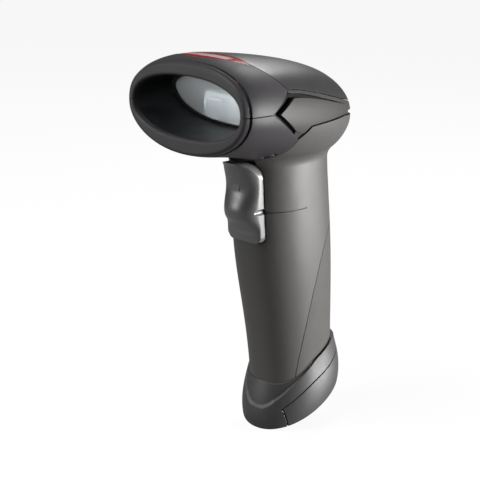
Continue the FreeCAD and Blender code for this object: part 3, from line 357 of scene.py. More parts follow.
@dataclass(frozen=True)
class Metal:
    """Bare or plated metal with fine scratches along one axis."""

    name: str
    colour: tuple[float, float, float]
    roughness: float = 0.32
    scratch: float = 0.0006
    edge: float = 0.00012

    def make(self) -> bpy.types.Material:
        """Build the material with brushed roughness and tarnish."""
        graph = Graph(self.name)
        rounded, edge = graph.edges(self.edge)
        brushed = graph.noise(self.scratch, 5.0, 0.7, 1.2)
        tarnish = graph.noise(0.004, 4.0, 0.6).step(0.55, 0.3)
        tone = graph.blend(tarnish * 0.45 + edge * 0.2, rgb(*self.colour),
                           scaled(self.colour, 0.72))
        rough = (brushed - 0.5) * 0.22 + self.roughness + tarnish * 0.12
        normal = graph.bump(brushed, 0.000006, 0.8, rounded)
        return graph.surface({"Base Color": tone, "Roughness": rough, "Normal": normal,
                              "Metallic": 1.0})


@dataclass(frozen=True)
class Glass:
    """Clear or smoked glass or acrylic, with faint smears."""

    name: str
    colour: tuple[float, float, float]
    roughness: float = 0.03
    transmission: float = 1.0
    ior: float = 1.49
    alpha: float = 1.0
    smear: float = 0.08

    def make(self) -> bpy.types.Material:
        """Build the material: clear, with smears that only show in the gloss."""
        graph = Graph(self.name)
        smear = graph.noise(0.010, 5.0, 0.65, 1.4).step(0.58, 0.3)
        dust = graph.noise(0.0012, 3.0, 0.6).step(0.66, 0.12)
        rough = smear * self.smear + dust * 0.04 + self.roughness
        tone = graph.blend(smear * 0.15 + dust * 0.05, rgb(*self.colour),
                           scaled(self.colour, 0.93))
        normal = graph.bump(smear, 0.000002, 0.3)
        return graph.surface({"Base Color": tone, "Roughness": rough, "Normal": normal,
                              "Transmission Weight": self.transmission, "IOR": self.ior,
                              "Alpha": self.alpha})


@dataclass(frozen=True)
class Laminate:
    """Circuit board: solder mask over a faint pattern of tracks, pads of tin."""

    name: str
    mask: tuple[float, float, float] = (0.012, 0.095, 0.035)
    track: float = 0.0011

    def make(self) -> bpy.types.Material:
        """Build the material with raised tracks and small tinned pads."""
        graph = Graph(self.name)
        x, y, z = graph.axes()
        weave = graph.noise(0.0004, 2.0)
        route = graph.noise(0.006, 1.0, 0.4, 0.0)
        along = ((z + (route * 0.004)) * (2 * math.pi / self.track)).sine().step(0.25, 0.5)
        across = ((x + y + (route * 0.003)) * (2 * math.pi / self.track)).sine().step(0.35, 0.5)
        tracks = along * route.step(0.5, 0.05) + across * (1.0 - route.step(0.5, 0.05))
        voronoi = graph.node("ShaderNodeTexVoronoi", {"feature": "F1"},
                             {"Vector": graph.place(), "Scale": 1.0 / 0.0042}, "Distance")
        pads = 1.0 - voronoi.step(0.17, 0.04)
        tone = graph.blend(tracks * 0.6, rgb(*self.mask), scaled(self.mask, 1.9))
        tone = graph.blend(pads, tone, rgb(0.62, 0.60, 0.55))
        rough = weave * 0.12 + 0.30 + pads * 0.08
        normal = graph.bump(tracks + pads * 1.5 + weave * 0.2, 0.000035, 1.0)
        return graph.surface({"Base Color": tone, "Roughness": rough, "Normal": normal,
                              "Metallic": pads * 0.9, "Coat Weight": 0.3,
                              "Coat Roughness": 0.15})


@dataclass(frozen=True)
class BadgeEnamel:
    """Red badge with a painted highlight along its middle: a pale curved band that fades towards
    the sides.
    """

    name: str
    red: tuple[float, float, float] = (0.36, 0.012, 0.016)
    # Colour of the painted highlight on the badge.
    pale: tuple[float, float, float] = (0.80, 0.62, 0.58)

    def make(self) -> bpy.types.Material:
        """Build the material from the badge's own outline."""
        graph = Graph(self.name)
        low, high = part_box("badge")
        x, y, _ = graph.axes()
        half = high.x
        across = abs(x) / half
        front = (y - low.y) / (high.y - low.y)
        flash = graph.noise(0.0030, 2.0, 0.5).step(0.5, 0.5) * 0.06
        # Painted highlight: a pale curved band across the badge's middle that fades out at the
        # sides; the same mask also gives a slight bump.
        highlight_middle = across * across * 0.34 + 0.47
        painted_highlight = 1.0 - abs(front - highlight_middle).step(0.20, 0.05)
        painted_highlight = painted_highlight * (1.0 - across.step(0.60, 0.12))
        tone = graph.blend(painted_highlight * 0.92, rgb(*self.red), rgb(*self.pale))
        mottled = graph.blend(flash, tone, rgb(0.12, 0.004, 0.006))
        fine = graph.noise(0.0006, 2.0)
        rough = fine * 0.10 + 0.16
        normal = graph.bump(painted_highlight + fine * 0.05, 0.00004, 0.6)
        return graph.surface({"Base Color": mottled, "Roughness": rough, "Normal": normal,
                              "Coat Weight": 0.8, "Coat Roughness": 0.06})


COWL = Plastic("cowl_plastic", (0.028, 0.026, 0.028), 0.52, Grain.SPARK, specular=0.25)
COVER = Plastic("cover_plastic", (0.026, 0.0255, 0.0255), 0.38, Grain.SATIN, coat=0.2,
                coat_roughness=0.24)
HOUSING = Plastic("housing_plastic", (0.058, 0.056, 0.0535), 0.48, Grain.SATIN, specular=0.35)
PANEL = Plastic("panel_plastic", (0.036, 0.034, 0.032), 0.50, Grain.SATIN, specular=0.25)
INSERT = Plastic("insert_rubber", (0.050, 0.047, 0.044), 0.66, Grain.COARSE, specular=0.35)
BOOT = Plastic("boot_plastic", (0.034, 0.032, 0.033), 0.48, Grain.SATIN)
TRIGGER = Plastic("trigger_plastic", (0.095, 0.093, 0.094), 0.36, Grain.POLISHED, coat=0.2,
                  coat_roughness=0.3)
TRIM = Plastic("trim_black", (0.0035, 0.0035, 0.0038), 0.55, Grain.SATIN, edge_light=2.0,
               specular=0.25)
LINER = Plastic("liner_black", (0.004, 0.0055, 0.006), 0.42, Grain.SATIN, edge_light=2.0)
RUBBER = Plastic("gasket_rubber", (0.012, 0.012, 0.013), 0.60, Grain.SPARK, specular=0.3)
ENGINE = Plastic("engine_plastic", (0.52, 0.55, 0.55), 0.40, Grain.SATIN)
CHIP = Plastic("chip_black", (0.010, 0.010, 0.011), 0.45, Grain.SPARK)
NYLON = Plastic("connector_nylon", (0.72, 0.69, 0.60), 0.38, Grain.SATIN)
WIRES = Plastic("wire_grey", (0.03, 0.03, 0.033), 0.40, Grain.POLISHED)
FLEX = Plastic("flex_tan", (0.30, 0.13, 0.02), 0.28, Grain.POLISHED, coat=0.4)
STEEL = Metal("plain_steel", (0.56, 0.56, 0.57))
BRASS = Metal("turned_brass", (0.66, 0.47, 0.22), 0.26)
COPPER = Metal("enamelled_copper", (0.52, 0.20, 0.08), 0.30)
GOLD = Metal("gold_contact", (0.83, 0.62, 0.26), 0.20)
TIN = Metal("tinned_leg", (0.70, 0.70, 0.68), 0.34)
SILVERING = Metal("mirror_silver", (0.93, 0.94, 0.95), 0.03)
# Painted light: the clear window pane gets a pale whitish colour and only part transmission, so it
# shows pale and bright instead of clear.
PAINTED_BRIGHT_WINDOW = Glass("window_clear", (0.76, 0.79, 0.81), 0.05, 0.62)
SMOKED = Plastic("smoked_lens", (0.008, 0.007, 0.009), 0.38, Grain.POLISHED, specular=0.3)
LENS = Glass("lens_glass", (0.90, 0.93, 0.97), 0.01)
FILTER = Glass("filter_glass", (0.60, 0.64, 0.68), 0.05, 0.45)
MASKED = Laminate("board_green")
ENAMEL = BadgeEnamel("badge_enamel")


class Wardrobe:
    """Makes each finish once and puts it on pieces."""

    def __init__(self) -> None:
        """Start with no finish made."""
        self.made: dict[str, bpy.types.Material] = {}

    def material(self, finish: Finish) -> bpy.types.Material:
        """The material of a finish, made on first use."""
        if finish.name not in self.made:
            self.made[finish.name] = finish.make()
        return self.made[finish.name]

    def put(self, piece: bpy.types.Object, finish: Finish) -> None:
        """Dress a piece in one finish."""
        piece.data.materials.clear()
        piece.data.materials.append(self.material(finish))


# ---------------------------------------------------------------------------------------
# Modelling by hand tools
# ---------------------------------------------------------------------------------------
class Bench:
    """Blender's own modelling operators, with selection by place or by normal."""

    @staticmethod
    def clear() -> None:
        """Deselect every object."""
        for item in bpy.data.objects:
            item.select_set(False)

    @staticmethod
    def pick(piece: bpy.types.Object) -> None:
        """Select one object alone and make it active."""
        Bench.clear()
        piece.select_set(True)
        bpy.context.view_layer.objects.active = piece

    @staticmethod
    def block(name: str, low: Vector, high: Vector) -> bpy.types.Object:
        """Add a block between two corners.

        Args:
            name: The piece's name.
            low: Its lowest corner.
            high: Its highest corner.

        Returns:
            The block, with its place in its mesh.
        """
        Bench.clear()
        bpy.ops.mesh.primitive_cube_add(size=1.0, location=(low + high) / 2)
        piece = bpy.context.object
        piece.name = piece.data.name = name
        piece.scale = high - low
        bpy.ops.object.transform_apply(location=True, rotation=True, scale=True)
        return piece

    @staticmethod
    def round_bar(name: str, base: Vector, axis: Vector, radius: float, length: float,
                  sides: int = 32) -> bpy.types.Object:
        """Add a round bar from a base point along an axis.

        Args:
            name: The piece's name.
            base: Middle of its first end.
            axis: Unit vector along it.
            radius: Its radius.
            length: Its length.
            sides: Number of flats round it.

        Returns:
            The bar, with its place in its mesh.
        """
        Bench.clear()
        bpy.ops.mesh.primitive_cylinder_add(vertices=sides, radius=radius, depth=length)
        piece = bpy.context.object
        piece.name = piece.data.name = name
        piece.rotation_mode = "QUATERNION"
        piece.rotation_quaternion = Vector((0, 0, 1)).rotation_difference(axis)
        piece.location = base + axis * (length / 2)
        bpy.ops.object.transform_apply(location=True, rotation=True, scale=True)
        return piece

    @staticmethod
    def faces(piece: bpy.types.Object, wanted: Callable[[bpy.types.MeshPolygon], bool]) -> None:
        """Select faces by a test and leave the piece in edit mode.

        Args:
            piece: The piece.
            wanted: Says of each face whether it is wanted.
        """
        Bench.pick(piece)
        for face in piece.data.polygons:
            face.select = bool(wanted(face))
        for edge in piece.data.edges:
            edge.select = False
        for vertex in piece.data.vertices:
            vertex.select = False
        bpy.ops.object.mode_set(mode="EDIT")
        bpy.ops.mesh.select_mode(type="FACE")

    @staticmethod
    def leave() -> None:
        """Go back to object mode."""
        bpy.ops.object.mode_set(mode="OBJECT")

    @staticmethod
    def soften(piece: bpy.types.Object, width: float, segments: int = 3,
               angle: float = 35.0) -> None:
        """Round a piece's sharp edges with an applied Bevel modifier.

        Args:
            piece: The piece.
            width: Width of the rounding in metres.
            segments: Steps across it.
            angle: Only edges sharper than this are rounded, in degrees.
        """
        Bench.pick(piece)
        bevel = piece.modifiers.new("round", "BEVEL")
        bevel.width = width
        bevel.segments = segments
        bevel.limit_method = "ANGLE"
        bevel.angle_limit = math.radians(angle)
        bpy.ops.object.modifier_apply(modifier=bevel.name)
        bpy.ops.object.shade_smooth_by_angle(angle=math.radians(40.0))

    @staticmethod
    def cut(piece: bpy.types.Object, tool: bpy.types.Object) -> None:
        """Cut a tool's shape out of a piece and throw the tool away."""
        Bench.pick(piece)
        boolean = piece.modifiers.new("cut", "BOOLEAN")
        boolean.operation = "DIFFERENCE"
        boolean.solver = "EXACT"
        boolean.object = tool
        bpy.ops.object.modifier_apply(modifier=boolean.name)
        bpy.data.objects.remove(tool, do_unlink=True)

    @staticmethod
    def join(name: str, pieces: Sequence[bpy.types.Object]) -> bpy.types.Object:
        """Join pieces into the first of them.

        Args:
            name: Name of the result.
            pieces: What to join, at least one.

        Returns:
            The joined piece.
        """
        Bench.pick(pieces[0])
        for piece in pieces:
            piece.select_set(True)
        bpy.ops.object.join()
        result = bpy.context.object
        result.name = result.data.name = name
        return result

    @staticmethod
    def copy(piece: bpy.types.Object, name: str, moved: Matrix) -> bpy.types.Object:
        """Copy a piece with its own mesh, moved by a matrix.

        Args:
            piece: What to copy.
            name: Name of the copy.
            moved: How the copy lies against the first.

        Returns:
            The copy, with its place in its mesh.
        """
        twin = piece.copy()
        twin.data = piece.data.copy()
        twin.name = twin.data.name = name
        twin.data.transform(moved)
        bpy.context.scene.collection.objects.link(twin)
        return twin


# ---------------------------------------------------------------------------------------
# Sub-assemblies
# ---------------------------------------------------------------------------------------
@dataclass
class SubAssembly:
    """A group of pieces that are made and dressed together."""

    wardrobe: Wardrobe

    def nodes(self) -> dict[str, Finish]:
        """Finish of each node of the frame that this group dresses."""
        return {}

    def build(self) -> None:
        """Make the pieces that stand for nodes; most groups keep the nodes as they are."""

    def make(self) -> None:
        """Dress the nodes, then build the detailed pieces."""
        for name, finish in self.nodes().items():
            self.wardrobe.put(frame["nodes"][name], finish)
            LOG.info("dressed %s", name)
        self.build()

    def settle(self, piece: bpy.types.Object, finish: Finish | None, node: str,
               body: str = "housing") -> bpy.types.Object:
        """Dress a new piece, put it on its body and let it stand for a node.

        Args:
            piece: The new piece.
            finish: Its finish, or None where its slots are filled already.
            node: The node that it stands for.
            body: The body that it rides on.

        Returns:
            The piece.
        """
        if finish is not None:
            self.wardrobe.put(piece, finish)
        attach(piece, body)
        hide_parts(node)
        LOG.info("built %s for %s", piece.name, node)
        return piece

    def fasten(self, screw: "Screw", node: str, spots: Iterable[Matrix]) -> None:
        """Model a node's screw once and set a copy at each place.

        Args:
            screw: The screw's sizes.
            node: The node that the screws stand for.
            spots: Where each copy lies.
        """
        name = node[:-1]
        first = screw.make(name)
        for index, spot in enumerate(spots, start=1):
            twin = Bench.copy(first, "%s_%d" % (name, index), spot)
            self.settle(twin, STEEL, node)
        bpy.data.objects.remove(first, do_unlink=True)


@dataclass
class Screw:
    """Pan-head screw with a cross recess and a rolled thread."""

    head_radius: float
    head_tall: float
    shank_radius: float
    length: float
    recess_width: float = 0.5 * MM
    recess_deep: float = 0.75 * MM
    core_share: float = 0.80
    ridges: int = 7

    def make(self, name: str) -> bpy.types.Object:
        """Model the screw with its head on +Z and its bearing face at the origin.

        Args:
            name: Name of the piece.

        Returns:
            The screw.
        """
        up = Vector((0, 0, 1))
        head = Bench.round_bar(name, Vector(), up, self.head_radius, self.head_tall, 40)
        Bench.faces(head, lambda face: face.normal.z > 0.9)
        bpy.ops.mesh.inset(thickness=self.head_radius * 0.25)
        Bench.leave()
        Bench.soften(head, self.head_tall * 0.42, 4, 60.0)
        arm = self.recess_width / 2
        reach = self.head_radius * 0.62
        top = self.head_tall
        for across, along in ((arm, reach), (reach, arm)):
            tool = Bench.block("recess", Vector((-across, -along, top - self.recess_deep)),
                               Vector((across, along, top + self.recess_deep)))
            Bench.cut(head, tool)
        shank = self._shank(name + "_shank")
        return Bench.join(name, [head, shank])

    def _shank(self, name: str) -> bpy.types.Object:
        """Extrude the thread ring by ring below the head.

        Args:
            name: Name of the piece.

        Returns:
            The shank.
        """
        pitch = self.length / self.ridges
        core = self.shank_radius * self.core_share
        start = Vector((0, 0, -pitch * 0.2))
        shank = Bench.round_bar(name, start, Vector((0, 0, 1)), core, pitch * 0.2, 20)
        Bench.faces(shank, lambda face: face.normal.z < -0.9)
        for _ in range(self.ridges - 1):
            for growth in (self.shank_radius / core, core / self.shank_radius):
                bpy.ops.mesh.extrude_region_move(
                    TRANSFORM_OT_translate={"value": (0, 0, -pitch / 2)})
                bpy.ops.transform.resize(value=(growth, growth, 1.0))
        bpy.ops.mesh.extrude_region_move(TRANSFORM_OT_translate={"value": (0, 0, -pitch * 0.8)})
        bpy.ops.transform.resize(value=(0.35, 0.35, 1.0))
        Bench.leave()
        bpy.ops.object.shade_smooth_by_angle(angle=math.radians(40.0))
        return shank


def turned_to(axis: Vector, place: Vector) -> Matrix:
    """Matrix that lays a piece modelled along +Z along an axis, at a place."""
    turn = Vector((0, 0, 1)).rotation_difference(axis).to_matrix().to_4x4()
    return Matrix.Translation(place) @ turn


@dataclass
class Head(SubAssembly):
    """Cowls, top cover, side panels with their trims, badge and rear lens."""

    lens_round: float = 1.5 * MM
    lens_crown: float = 0.35 * MM

    def nodes(self) -> dict[str, Finish]:
        """Finishes of the head's shells."""
        return {"upper_cowl": COWL, "lower_cowl": COWL, "top_cover": COVER,
                "side_panel_right": PANEL, "side_panel_left": PANEL,
                "side_trim_right": TRIM, "side_trim_left": TRIM, "badge": ENAMEL}

    def build(self) -> None:
        """Model the smoked lens in the head's rear tip."""
        low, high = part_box("status_lens")
        low.y += self.lens_crown
        lens = Bench.block("rear_lens", low, high - Vector((0, self.lens_crown, 0)))
        Bench.faces(lens, lambda face: face.normal.y > 0.9)
        bpy.ops.mesh.inset(thickness=self.lens_round)
        bpy.ops.transform.translate(value=(0, self.lens_crown, 0))
        Bench.leave()
        Bench.soften(lens, self.lens_round * 0.55, 4, 12.0)
        self.settle(lens, SMOKED, "status_lens")


@dataclass
class Nose(SubAssembly):
    """Black tunnel, window and its gasket."""

    def nodes(self) -> dict[str, Finish]:
        """Finishes of the nose's inside."""
        return {"tunnel_liner": LINER, "window": PAINTED_BRIGHT_WINDOW, "window_gasket": RUBBER}


@dataclass
class Handle(SubAssembly):
    """Handle shells, boot and foot cap with its two screws."""

    screw: Screw = field(default_factory=lambda: Screw(1.9 * MM, 1.3 * MM, 1.0 * MM, 9.0 * MM))
    slope: float = math.radians(24.1)

    def nodes(self) -> dict[str, Finish]:
        """Finishes of the handle's shells."""
        return {"grip_housing": HOUSING, "grip_back_cover": INSERT, "boot": BOOT,
                "foot_cap": BOOT}

    def build(self) -> None:
        """Set a screw in each counterbore of the sloping foot."""
        low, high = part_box("foot_screws")
        down = Vector((0, math.sin(self.slope), -math.cos(self.slope)))
        reach = self.screw.head_radius
        across = high.x - reach
        head_top = Vector((0, high.y - reach * math.cos(self.slope), 0))
        head_top.z = low.z + reach * math.sin(self.slope)
        seat = head_top - down * self.screw.head_tall
        self.fasten(self.screw, "foot_screws",
                    [turned_to(down, Vector((x, seat.y, seat.z))) for x in (-across, across)])


@dataclass
class TriggerGroup(SubAssembly):
    """Trigger with its pin and spring, and the switch that it presses."""

    wire: float = 0.25 * MM
    turns: int = 6
    pressed: float = 0.70

    def nodes(self) -> dict[str, Finish]:
        """Finishes of the trigger group."""
        return {"trigger": TRIGGER, "trigger_pin": STEEL, "switch_body": CHIP,
                "switch_plunger": NYLON}

    def build(self) -> None:
        """Wind the return spring."""
        low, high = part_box("trigger_spring")
        middle = (low + high) / 2
        reach = (high.z - low.z) / 2 - self.wire
        length = high.y - low.y - 2 * self.wire
        Bench.clear()
        bpy.ops.mesh.primitive_circle_add(vertices=12, radius=self.wire,
                                          location=(reach, 0.0, 0.0),
                                          rotation=(math.pi / 2, 0.0, 0.0))
        spring = bpy.context.object
        spring.name = spring.data.name = "return_spring"
        bpy.ops.object.transform_apply(location=True, rotation=True, scale=True)
        winding = spring.modifiers.new("wind", "SCREW")
        winding.axis = "Z"
        winding.steps = winding.render_steps = 28
        winding.iterations = self.turns
        winding.screw_offset = length / self.turns
        bpy.ops.object.modifier_apply(modifier=winding.name)
        bpy.ops.object.mode_set(mode="EDIT")
        bpy.ops.mesh.select_mode(type="EDGE")
        bpy.ops.mesh.select_all(action="DESELECT")
        bpy.ops.mesh.select_non_manifold()
        bpy.ops.mesh.fill()
        bpy.ops.mesh.select_all(action="SELECT")
        bpy.ops.mesh.normals_make_consistent(inside=False)
        Bench.leave()
        bpy.ops.object.shade_smooth_by_angle(angle=math.radians(50.0))
        start = Vector((middle.x, low.y + self.wire, middle.z))
        spring.data.transform(turned_to(Vector((0, 1, 0)), start))
        self.settle(spring, STEEL, "trigger_spring")
        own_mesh(spring)


class Facing(Enum):
    """Side of a board that a chip is soldered to, as the axis out of the board."""

    BACK = (0.0, 1.0, 0.0)
    TOP = (0.0, 0.0, 1.0)


@dataclass
class LeadedChip:
    """Moulded package with gull-wing legs and a pin-one dimple."""

    node: str
    facing: Facing
    legs_per_side: int
    all_sides: bool
    leg_reach: float = 0.75 * MM
    leg_thick: float = 0.12 * MM
    leg_half: float = 0.18 * MM

    def make(self, wardrobe: Wardrobe) -> bpy.types.Object:
        """Model the package inside its node's box, with its legs round it.

        Args:
            wardrobe: Where finishes come from.

        Returns:
            The chip with its legs, in two finishes.
        """
        low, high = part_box(self.node)
        out = Vector(self.facing.value)
        side = Vector((1, 0, 0))
        up = out.cross(side)
        size = high - low
        middle = (low + high) / 2
        tall = abs(size.dot(out))
        wide, long = abs(size.dot(side)), abs(size.dot(up))
        standing = middle - out * (tall / 2)
        turn = Matrix((side, -up, out)).transposed().to_4x4()
        spot = Matrix.Translation(standing) @ turn
        inset = self.leg_reach
        body = Bench.block("body", Vector((-wide / 2 + inset, -long / 2 + inset, tall * 0.12)),
                           Vector((wide / 2 - inset, long / 2 - inset, tall)))
        dimple = Bench.round_bar("dimple", Vector((-wide * 0.28, long * 0.28, tall * 0.93)),
                                 Vector((0, 0, 1)), wide * 0.05, tall, 20)
        Bench.cut(body, dimple)
        Bench.soften(body, tall * 0.10, 2)
        wardrobe.put(body, CHIP)
        legs = self._legs(wide, long, tall)
        for leg in legs:
            wardrobe.put(leg, TIN)
        chip = Bench.join(self.node + "_detailed", [body] + legs)
        chip.data.transform(spot)
        return chip

    def _legs(self, wide: float, long: float, tall: float) -> list[bpy.types.Object]:
        """One leg extruded into its gull wing, and its copies round the package.

        Args:
            wide: Package width.
            long: Package length.
            tall: Package height.

        Returns:
            The legs.
        """
        thick = self.leg_thick
        half = min(self.leg_half, wide / (self.legs_per_side * 4.0))
        leg = Bench.block("leg", Vector((-half, 0.0, tall * 0.45)),
                          Vector((half, thick, tall * 0.45 + thick)))
        Bench.faces(leg, lambda face: face.normal.y > 0.9)
        steps = ((0.0, 0.25 * self.leg_reach, 0.0), (0.0, 0.25 * self.leg_reach, -tall * 0.43),
                 (0.0, 0.34 * self.leg_reach, 0.0))
        for step in steps:
            bpy.ops.mesh.extrude_region_move(TRANSFORM_OT_translate={"value": step})
        Bench.leave()
        sides = (0, 1, 2, 3) if self.all_sides else (0, 2)
        legs = []
        for side in sides:
            reach = (long if side % 2 == 0 else wide) / 2 - self.leg_reach - thick
            span = (wide if side % 2 == 0 else long) - 2.6 * self.leg_reach
            turn = Matrix.Rotation(side * math.pi / 2, 4, "Z")
            for index in range(self.legs_per_side):
                across = (index / (self.legs_per_side - 1) - 0.5) * span
                moved = turn @ Matrix.Translation((across, reach, 0.0))
                legs.append(Bench.copy(leg, "leg", moved))
        bpy.data.objects.remove(leg, do_unlink=True)
        return legs


@dataclass
class MainBoard(SubAssembly):
    """Main board with its chips, header, buzzer and screws."""

    screw: Screw = field(default_factory=lambda: Screw(1.9 * MM, 1.3 * MM, 1.0 * MM, 6.0 * MM))

    def nodes(self) -> dict[str, Finish]:
        """Finishes of the board and what stays as the frame has it."""
        return {"main_board": MASKED, "cable_header": NYLON, "buzzer": CHIP,
                "flex_lead": FLEX, "flex_connectors": NYLON}

    def build(self) -> None:
        """Model the two leaded chips and the two screws."""
        for chip in (LeadedChip("decoder_chip", Facing.BACK, 12, True),
                     LeadedChip("memory_chip", Facing.BACK, 4, False)):
            self.settle(chip.make(self.wardrobe), None, chip.node)
        low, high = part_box("board_screws")
        reach = self.screw.head_radius
        seat = high.y - self.screw.head_tall
        levels = (low.z + reach, high.z - reach)
        self.fasten(self.screw, "board_screws",
                    [turned_to(Vector((0, 1, 0)), Vector((0.0, seat, z))) for z in levels])


@dataclass
class ScanEngine(SubAssembly):
    """Tray, optics, mirror, coil and board of the scan engine."""

    screw: Screw = field(default_factory=lambda: Screw(1.9 * MM, 1.3 * MM, 1.0 * MM, 9.0 * MM))
    turns: int = 5
    layers: int = 3
    bore_share: float = 0.42

    def nodes(self) -> dict[str, Finish]:
        """Finishes of the engine's nodes."""
        return {"engine_frame": ENGINE, "isolator_grommets": RUBBER, "engine_board": MASKED,
                "mirror_shaft": STEEL, "scan_mirror": SILVERING, "laser_module": BRASS,
                "laser_lens": LENS, "laser_cradle": ENGINE, "detector_bezel": ENGINE,
                "optical_filter": FILTER, "photodetector": CHIP}

    def build(self) -> None:
        """Model the leaded chip, the wound coil and the four screws."""
        chip = LeadedChip("engine_chip", Facing.TOP, 7, True)
        self.settle(chip.make(self.wardrobe), None, chip.node)
        self._coil()
        low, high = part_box("engine_screws")
        reach = self.screw.head_radius
        seat = high.z - self.screw.head_tall
        self.fasten(self.screw, "engine_screws",
                    [turned_to(Vector((0, 0, 1)), Vector((x, y, seat)))
                     for x in (low.x + reach, high.x - reach)
                     for y in (low.y + reach, high.y - reach)])

    def _coil(self) -> None:
        """Wind the drive coil from rings of wire, layer on layer."""
        low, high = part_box("drive_coil")
        middle = (low + high) / 2
        outer = (high.x - low.x) / 2
        inner = outer * self.bore_share
        wire = (high.y - low.y) / self.turns / 2
        rings = []
        for turn in range(self.turns):
            for layer in range(self.layers):
                step = (outer - inner - 2 * wire) / (self.layers - 1)
                place = Vector((middle.x, low.y + wire * (2 * turn + 1), middle.z))
                Bench.clear()
                bpy.ops.mesh.primitive_torus_add(
                    location=place, rotation=(math.pi / 2, 0, 0), major_segments=36,
                    minor_segments=8, major_radius=outer - wire - layer * step,
                    minor_radius=wire)
                rings.append(bpy.context.object)
        coil = Bench.join("coil_windings", rings)
        Bench.pick(coil)
        bpy.ops.object.transform_apply(location=True, rotation=True, scale=True)
        bpy.ops.object.shade_smooth()
        self.settle(coil, COPPER, "drive_coil")


@dataclass
class CableSocket(SubAssembly):
    """Socket in the foot with its contacts and harness."""

    def nodes(self) -> dict[str, Finish]:
        """Finishes of the socket group."""
        return {"cable_socket": TRIM, "socket_contacts": GOLD, "socket_harness": WIRES}


# ---------------------------------------------------------------------------------------
# Studio
# ---------------------------------------------------------------------------------------
@dataclass
class Camera:
    """Camera in front of the right side, slightly above."""

    azimuth: float = 43.5
    elevation: float = 16.0
    distance: float = 0.541
    target: tuple[float, float, float] = (-0.0226, 0.0093, 0.0859)
    lens: float = 85.0
    sensor: float = 36.0
    roll: float = 0.9

    def make(self) -> bpy.types.Object:
        """Place the camera and make it the scene's.

        Returns:
            The camera.
        """
        turn, lift, roll = (math.radians(a) for a in (self.azimuth, self.elevation, self.roll))
        back = Vector((math.sin(turn) * math.cos(lift), -math.cos(turn) * math.cos(lift),
                       math.sin(lift)))
        right = Vector((math.cos(turn), math.sin(turn), 0.0))
        up = back.cross(right)
        rolled_right = right * math.cos(roll) + up * math.sin(roll)
        rolled_up = up * math.cos(roll) - right * math.sin(roll)
        data = bpy.data.cameras.new("camera")
        data.lens = self.lens
        data.sensor_width = self.sensor
        data.clip_start = 0.01
        camera = bpy.data.objects.new("camera", data)
        bpy.context.scene.collection.objects.link(camera)
        turned = Matrix((rolled_right, rolled_up, back)).transposed().to_4x4()
        camera.matrix_world = Matrix.Translation(
            Vector(self.target) + back * self.distance) @ turned
        bpy.context.scene.camera = camera
        return camera


@dataclass(frozen=True)
class Softbox:
    """One rectangular soft light aimed at the scanner."""

    name: str
    azimuth: float
    elevation: float
    distance: float
    width: float
    height: float
    power: float
    aim: tuple[float, float, float] = (0.0, 0.0, 0.10)
    spread: float = 180.0

    def make(self) -> bpy.types.Object:
        """Hang the light.

        Returns:
            The light.
        """
        turn, lift = math.radians(self.azimuth), math.radians(self.elevation)
        away = Vector((math.sin(turn) * math.cos(lift), -math.cos(turn) * math.cos(lift),
                       math.sin(lift)))
        data = bpy.data.lights.new(self.name, "AREA")
        data.shape = "RECTANGLE"
        data.size, data.size_y = self.width, self.height
        data.energy = self.power
        data.spread = math.radians(self.spread)
        lamp = bpy.data.objects.new(self.name, data)
        bpy.context.scene.collection.objects.link(lamp)
        lamp.visible_camera = False
        lamp.location = Vector(self.aim) + away * self.distance
        lamp.rotation_mode = "QUATERNION"
        lamp.rotation_quaternion = (-away).to_track_quat("-Z", "Y")
        return lamp


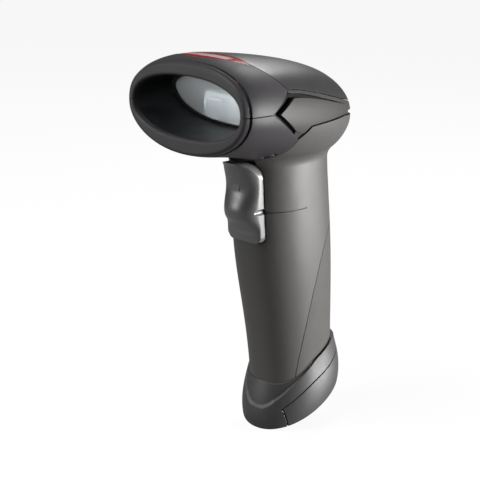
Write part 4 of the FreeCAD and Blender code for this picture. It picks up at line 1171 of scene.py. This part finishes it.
@dataclass
class Studio:
    """Pale floor, pale surroundings and soft lights."""

    floor_colour: tuple[float, float, float] = (0.94, 0.94, 0.94)
    floor_glow: float = 0.93
    glow_strength: float = 1.06
    bounce_colour: tuple[float, float, float] = (0.25, 0.25, 0.25)
    world_strength: float = 0.04
    lights: tuple[Softbox, ...] = (
        Softbox("right_key", 124.0, -1.0, 0.9, 0.45, 0.22, 26.0),
        Softbox("top_back", 206.0, 44.0, 1.0, 0.35, 0.30, 4.5),
        Softbox("front_left", -36.0, 10.0, 0.8, 0.24, 0.3, 2.8),
        Softbox("front_top", -14.0, 56.0, 1.0, 0.5, 0.4, 9.0),
        Softbox("window_glow", 0.0, 6.0, 0.024, 0.056, 0.024, 0.0021, (0.0, -0.024, 0.158), 24.0),
        Softbox("engine_glow", 0.0, 20.0, 0.006, 0.04, 0.006, 0.0045, (-0.010, -0.014, 0.156)),
    )

    def make(self) -> None:
        """Lay the floor, set the surroundings and hang the lights."""
        bpy.context.scene.view_settings.view_transform = "Standard"
        self._floor()
        self._world()
        for light in self.lights:
            light.make()

    def _floor(self) -> None:
        """Pale paper that shows nearly white and throws back a softer light."""
        Bench.clear()
        bpy.ops.mesh.primitive_plane_add(size=9.0, location=(0.0, 0.0, 0.0))
        floor = bpy.context.object
        floor.name = "floor"
        graph = Graph("floor_paper")
        tooth = graph.noise(0.004, 3.0)
        tone = graph.blend(tooth * 0.2, rgb(*self.floor_colour), scaled(self.floor_colour, 0.98))
        paper = graph.node("ShaderNodeBsdfDiffuse", {}, {"Color": tone})
        glow = graph.node("ShaderNodeEmission", {}, {"Color": tone, "Strength": self.glow_strength})
        shown = graph.node("ShaderNodeMixShader", {}, {0: self.floor_glow, 1: paper, 2: glow})
        bounce = graph.node("ShaderNodeBsdfDiffuse", {}, {"Color": rgb(*self.bounce_colour)})
        seen = graph.node("ShaderNodeLightPath", output="Is Camera Ray")
        both = graph.node("ShaderNodeMixShader", {}, {0: seen, 1: bounce, 2: shown})
        graph.tree.links.new(both.socket, graph.output.inputs["Surface"])
        floor.data.materials.append(graph.material)

    def _world(self) -> None:
        """White surroundings, dimmer as a light than as a backdrop."""
        world = bpy.data.worlds.new("studio")
        world.use_nodes = True
        tree = world.node_tree
        background = tree.nodes["Background"]
        background.inputs["Color"].default_value = rgb(1.0, 1.0, 1.0)
        path = tree.nodes.new("ShaderNodeLightPath")
        level = tree.nodes.new("ShaderNodeMapRange")
        level.inputs["To Min"].default_value = self.world_strength
        level.inputs["To Max"].default_value = 1.0
        tree.links.new(path.outputs["Is Camera Ray"], level.inputs["Value"])
        tree.links.new(level.outputs[0], background.inputs["Strength"])
        bpy.context.scene.world = world


def main() -> None:
    """Build the scene: camera, studio, then each sub-assembly in order."""
    logging.basicConfig(level=logging.INFO, format="%(message)s")
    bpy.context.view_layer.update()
    Camera().make()
    Studio().make()
    wardrobe = Wardrobe()
    for group in (Head, Nose, Handle, TriggerGroup, MainBoard, ScanEngine, CableSocket):
        group(wardrobe).make()


if __name__ == "__main__":
    main()
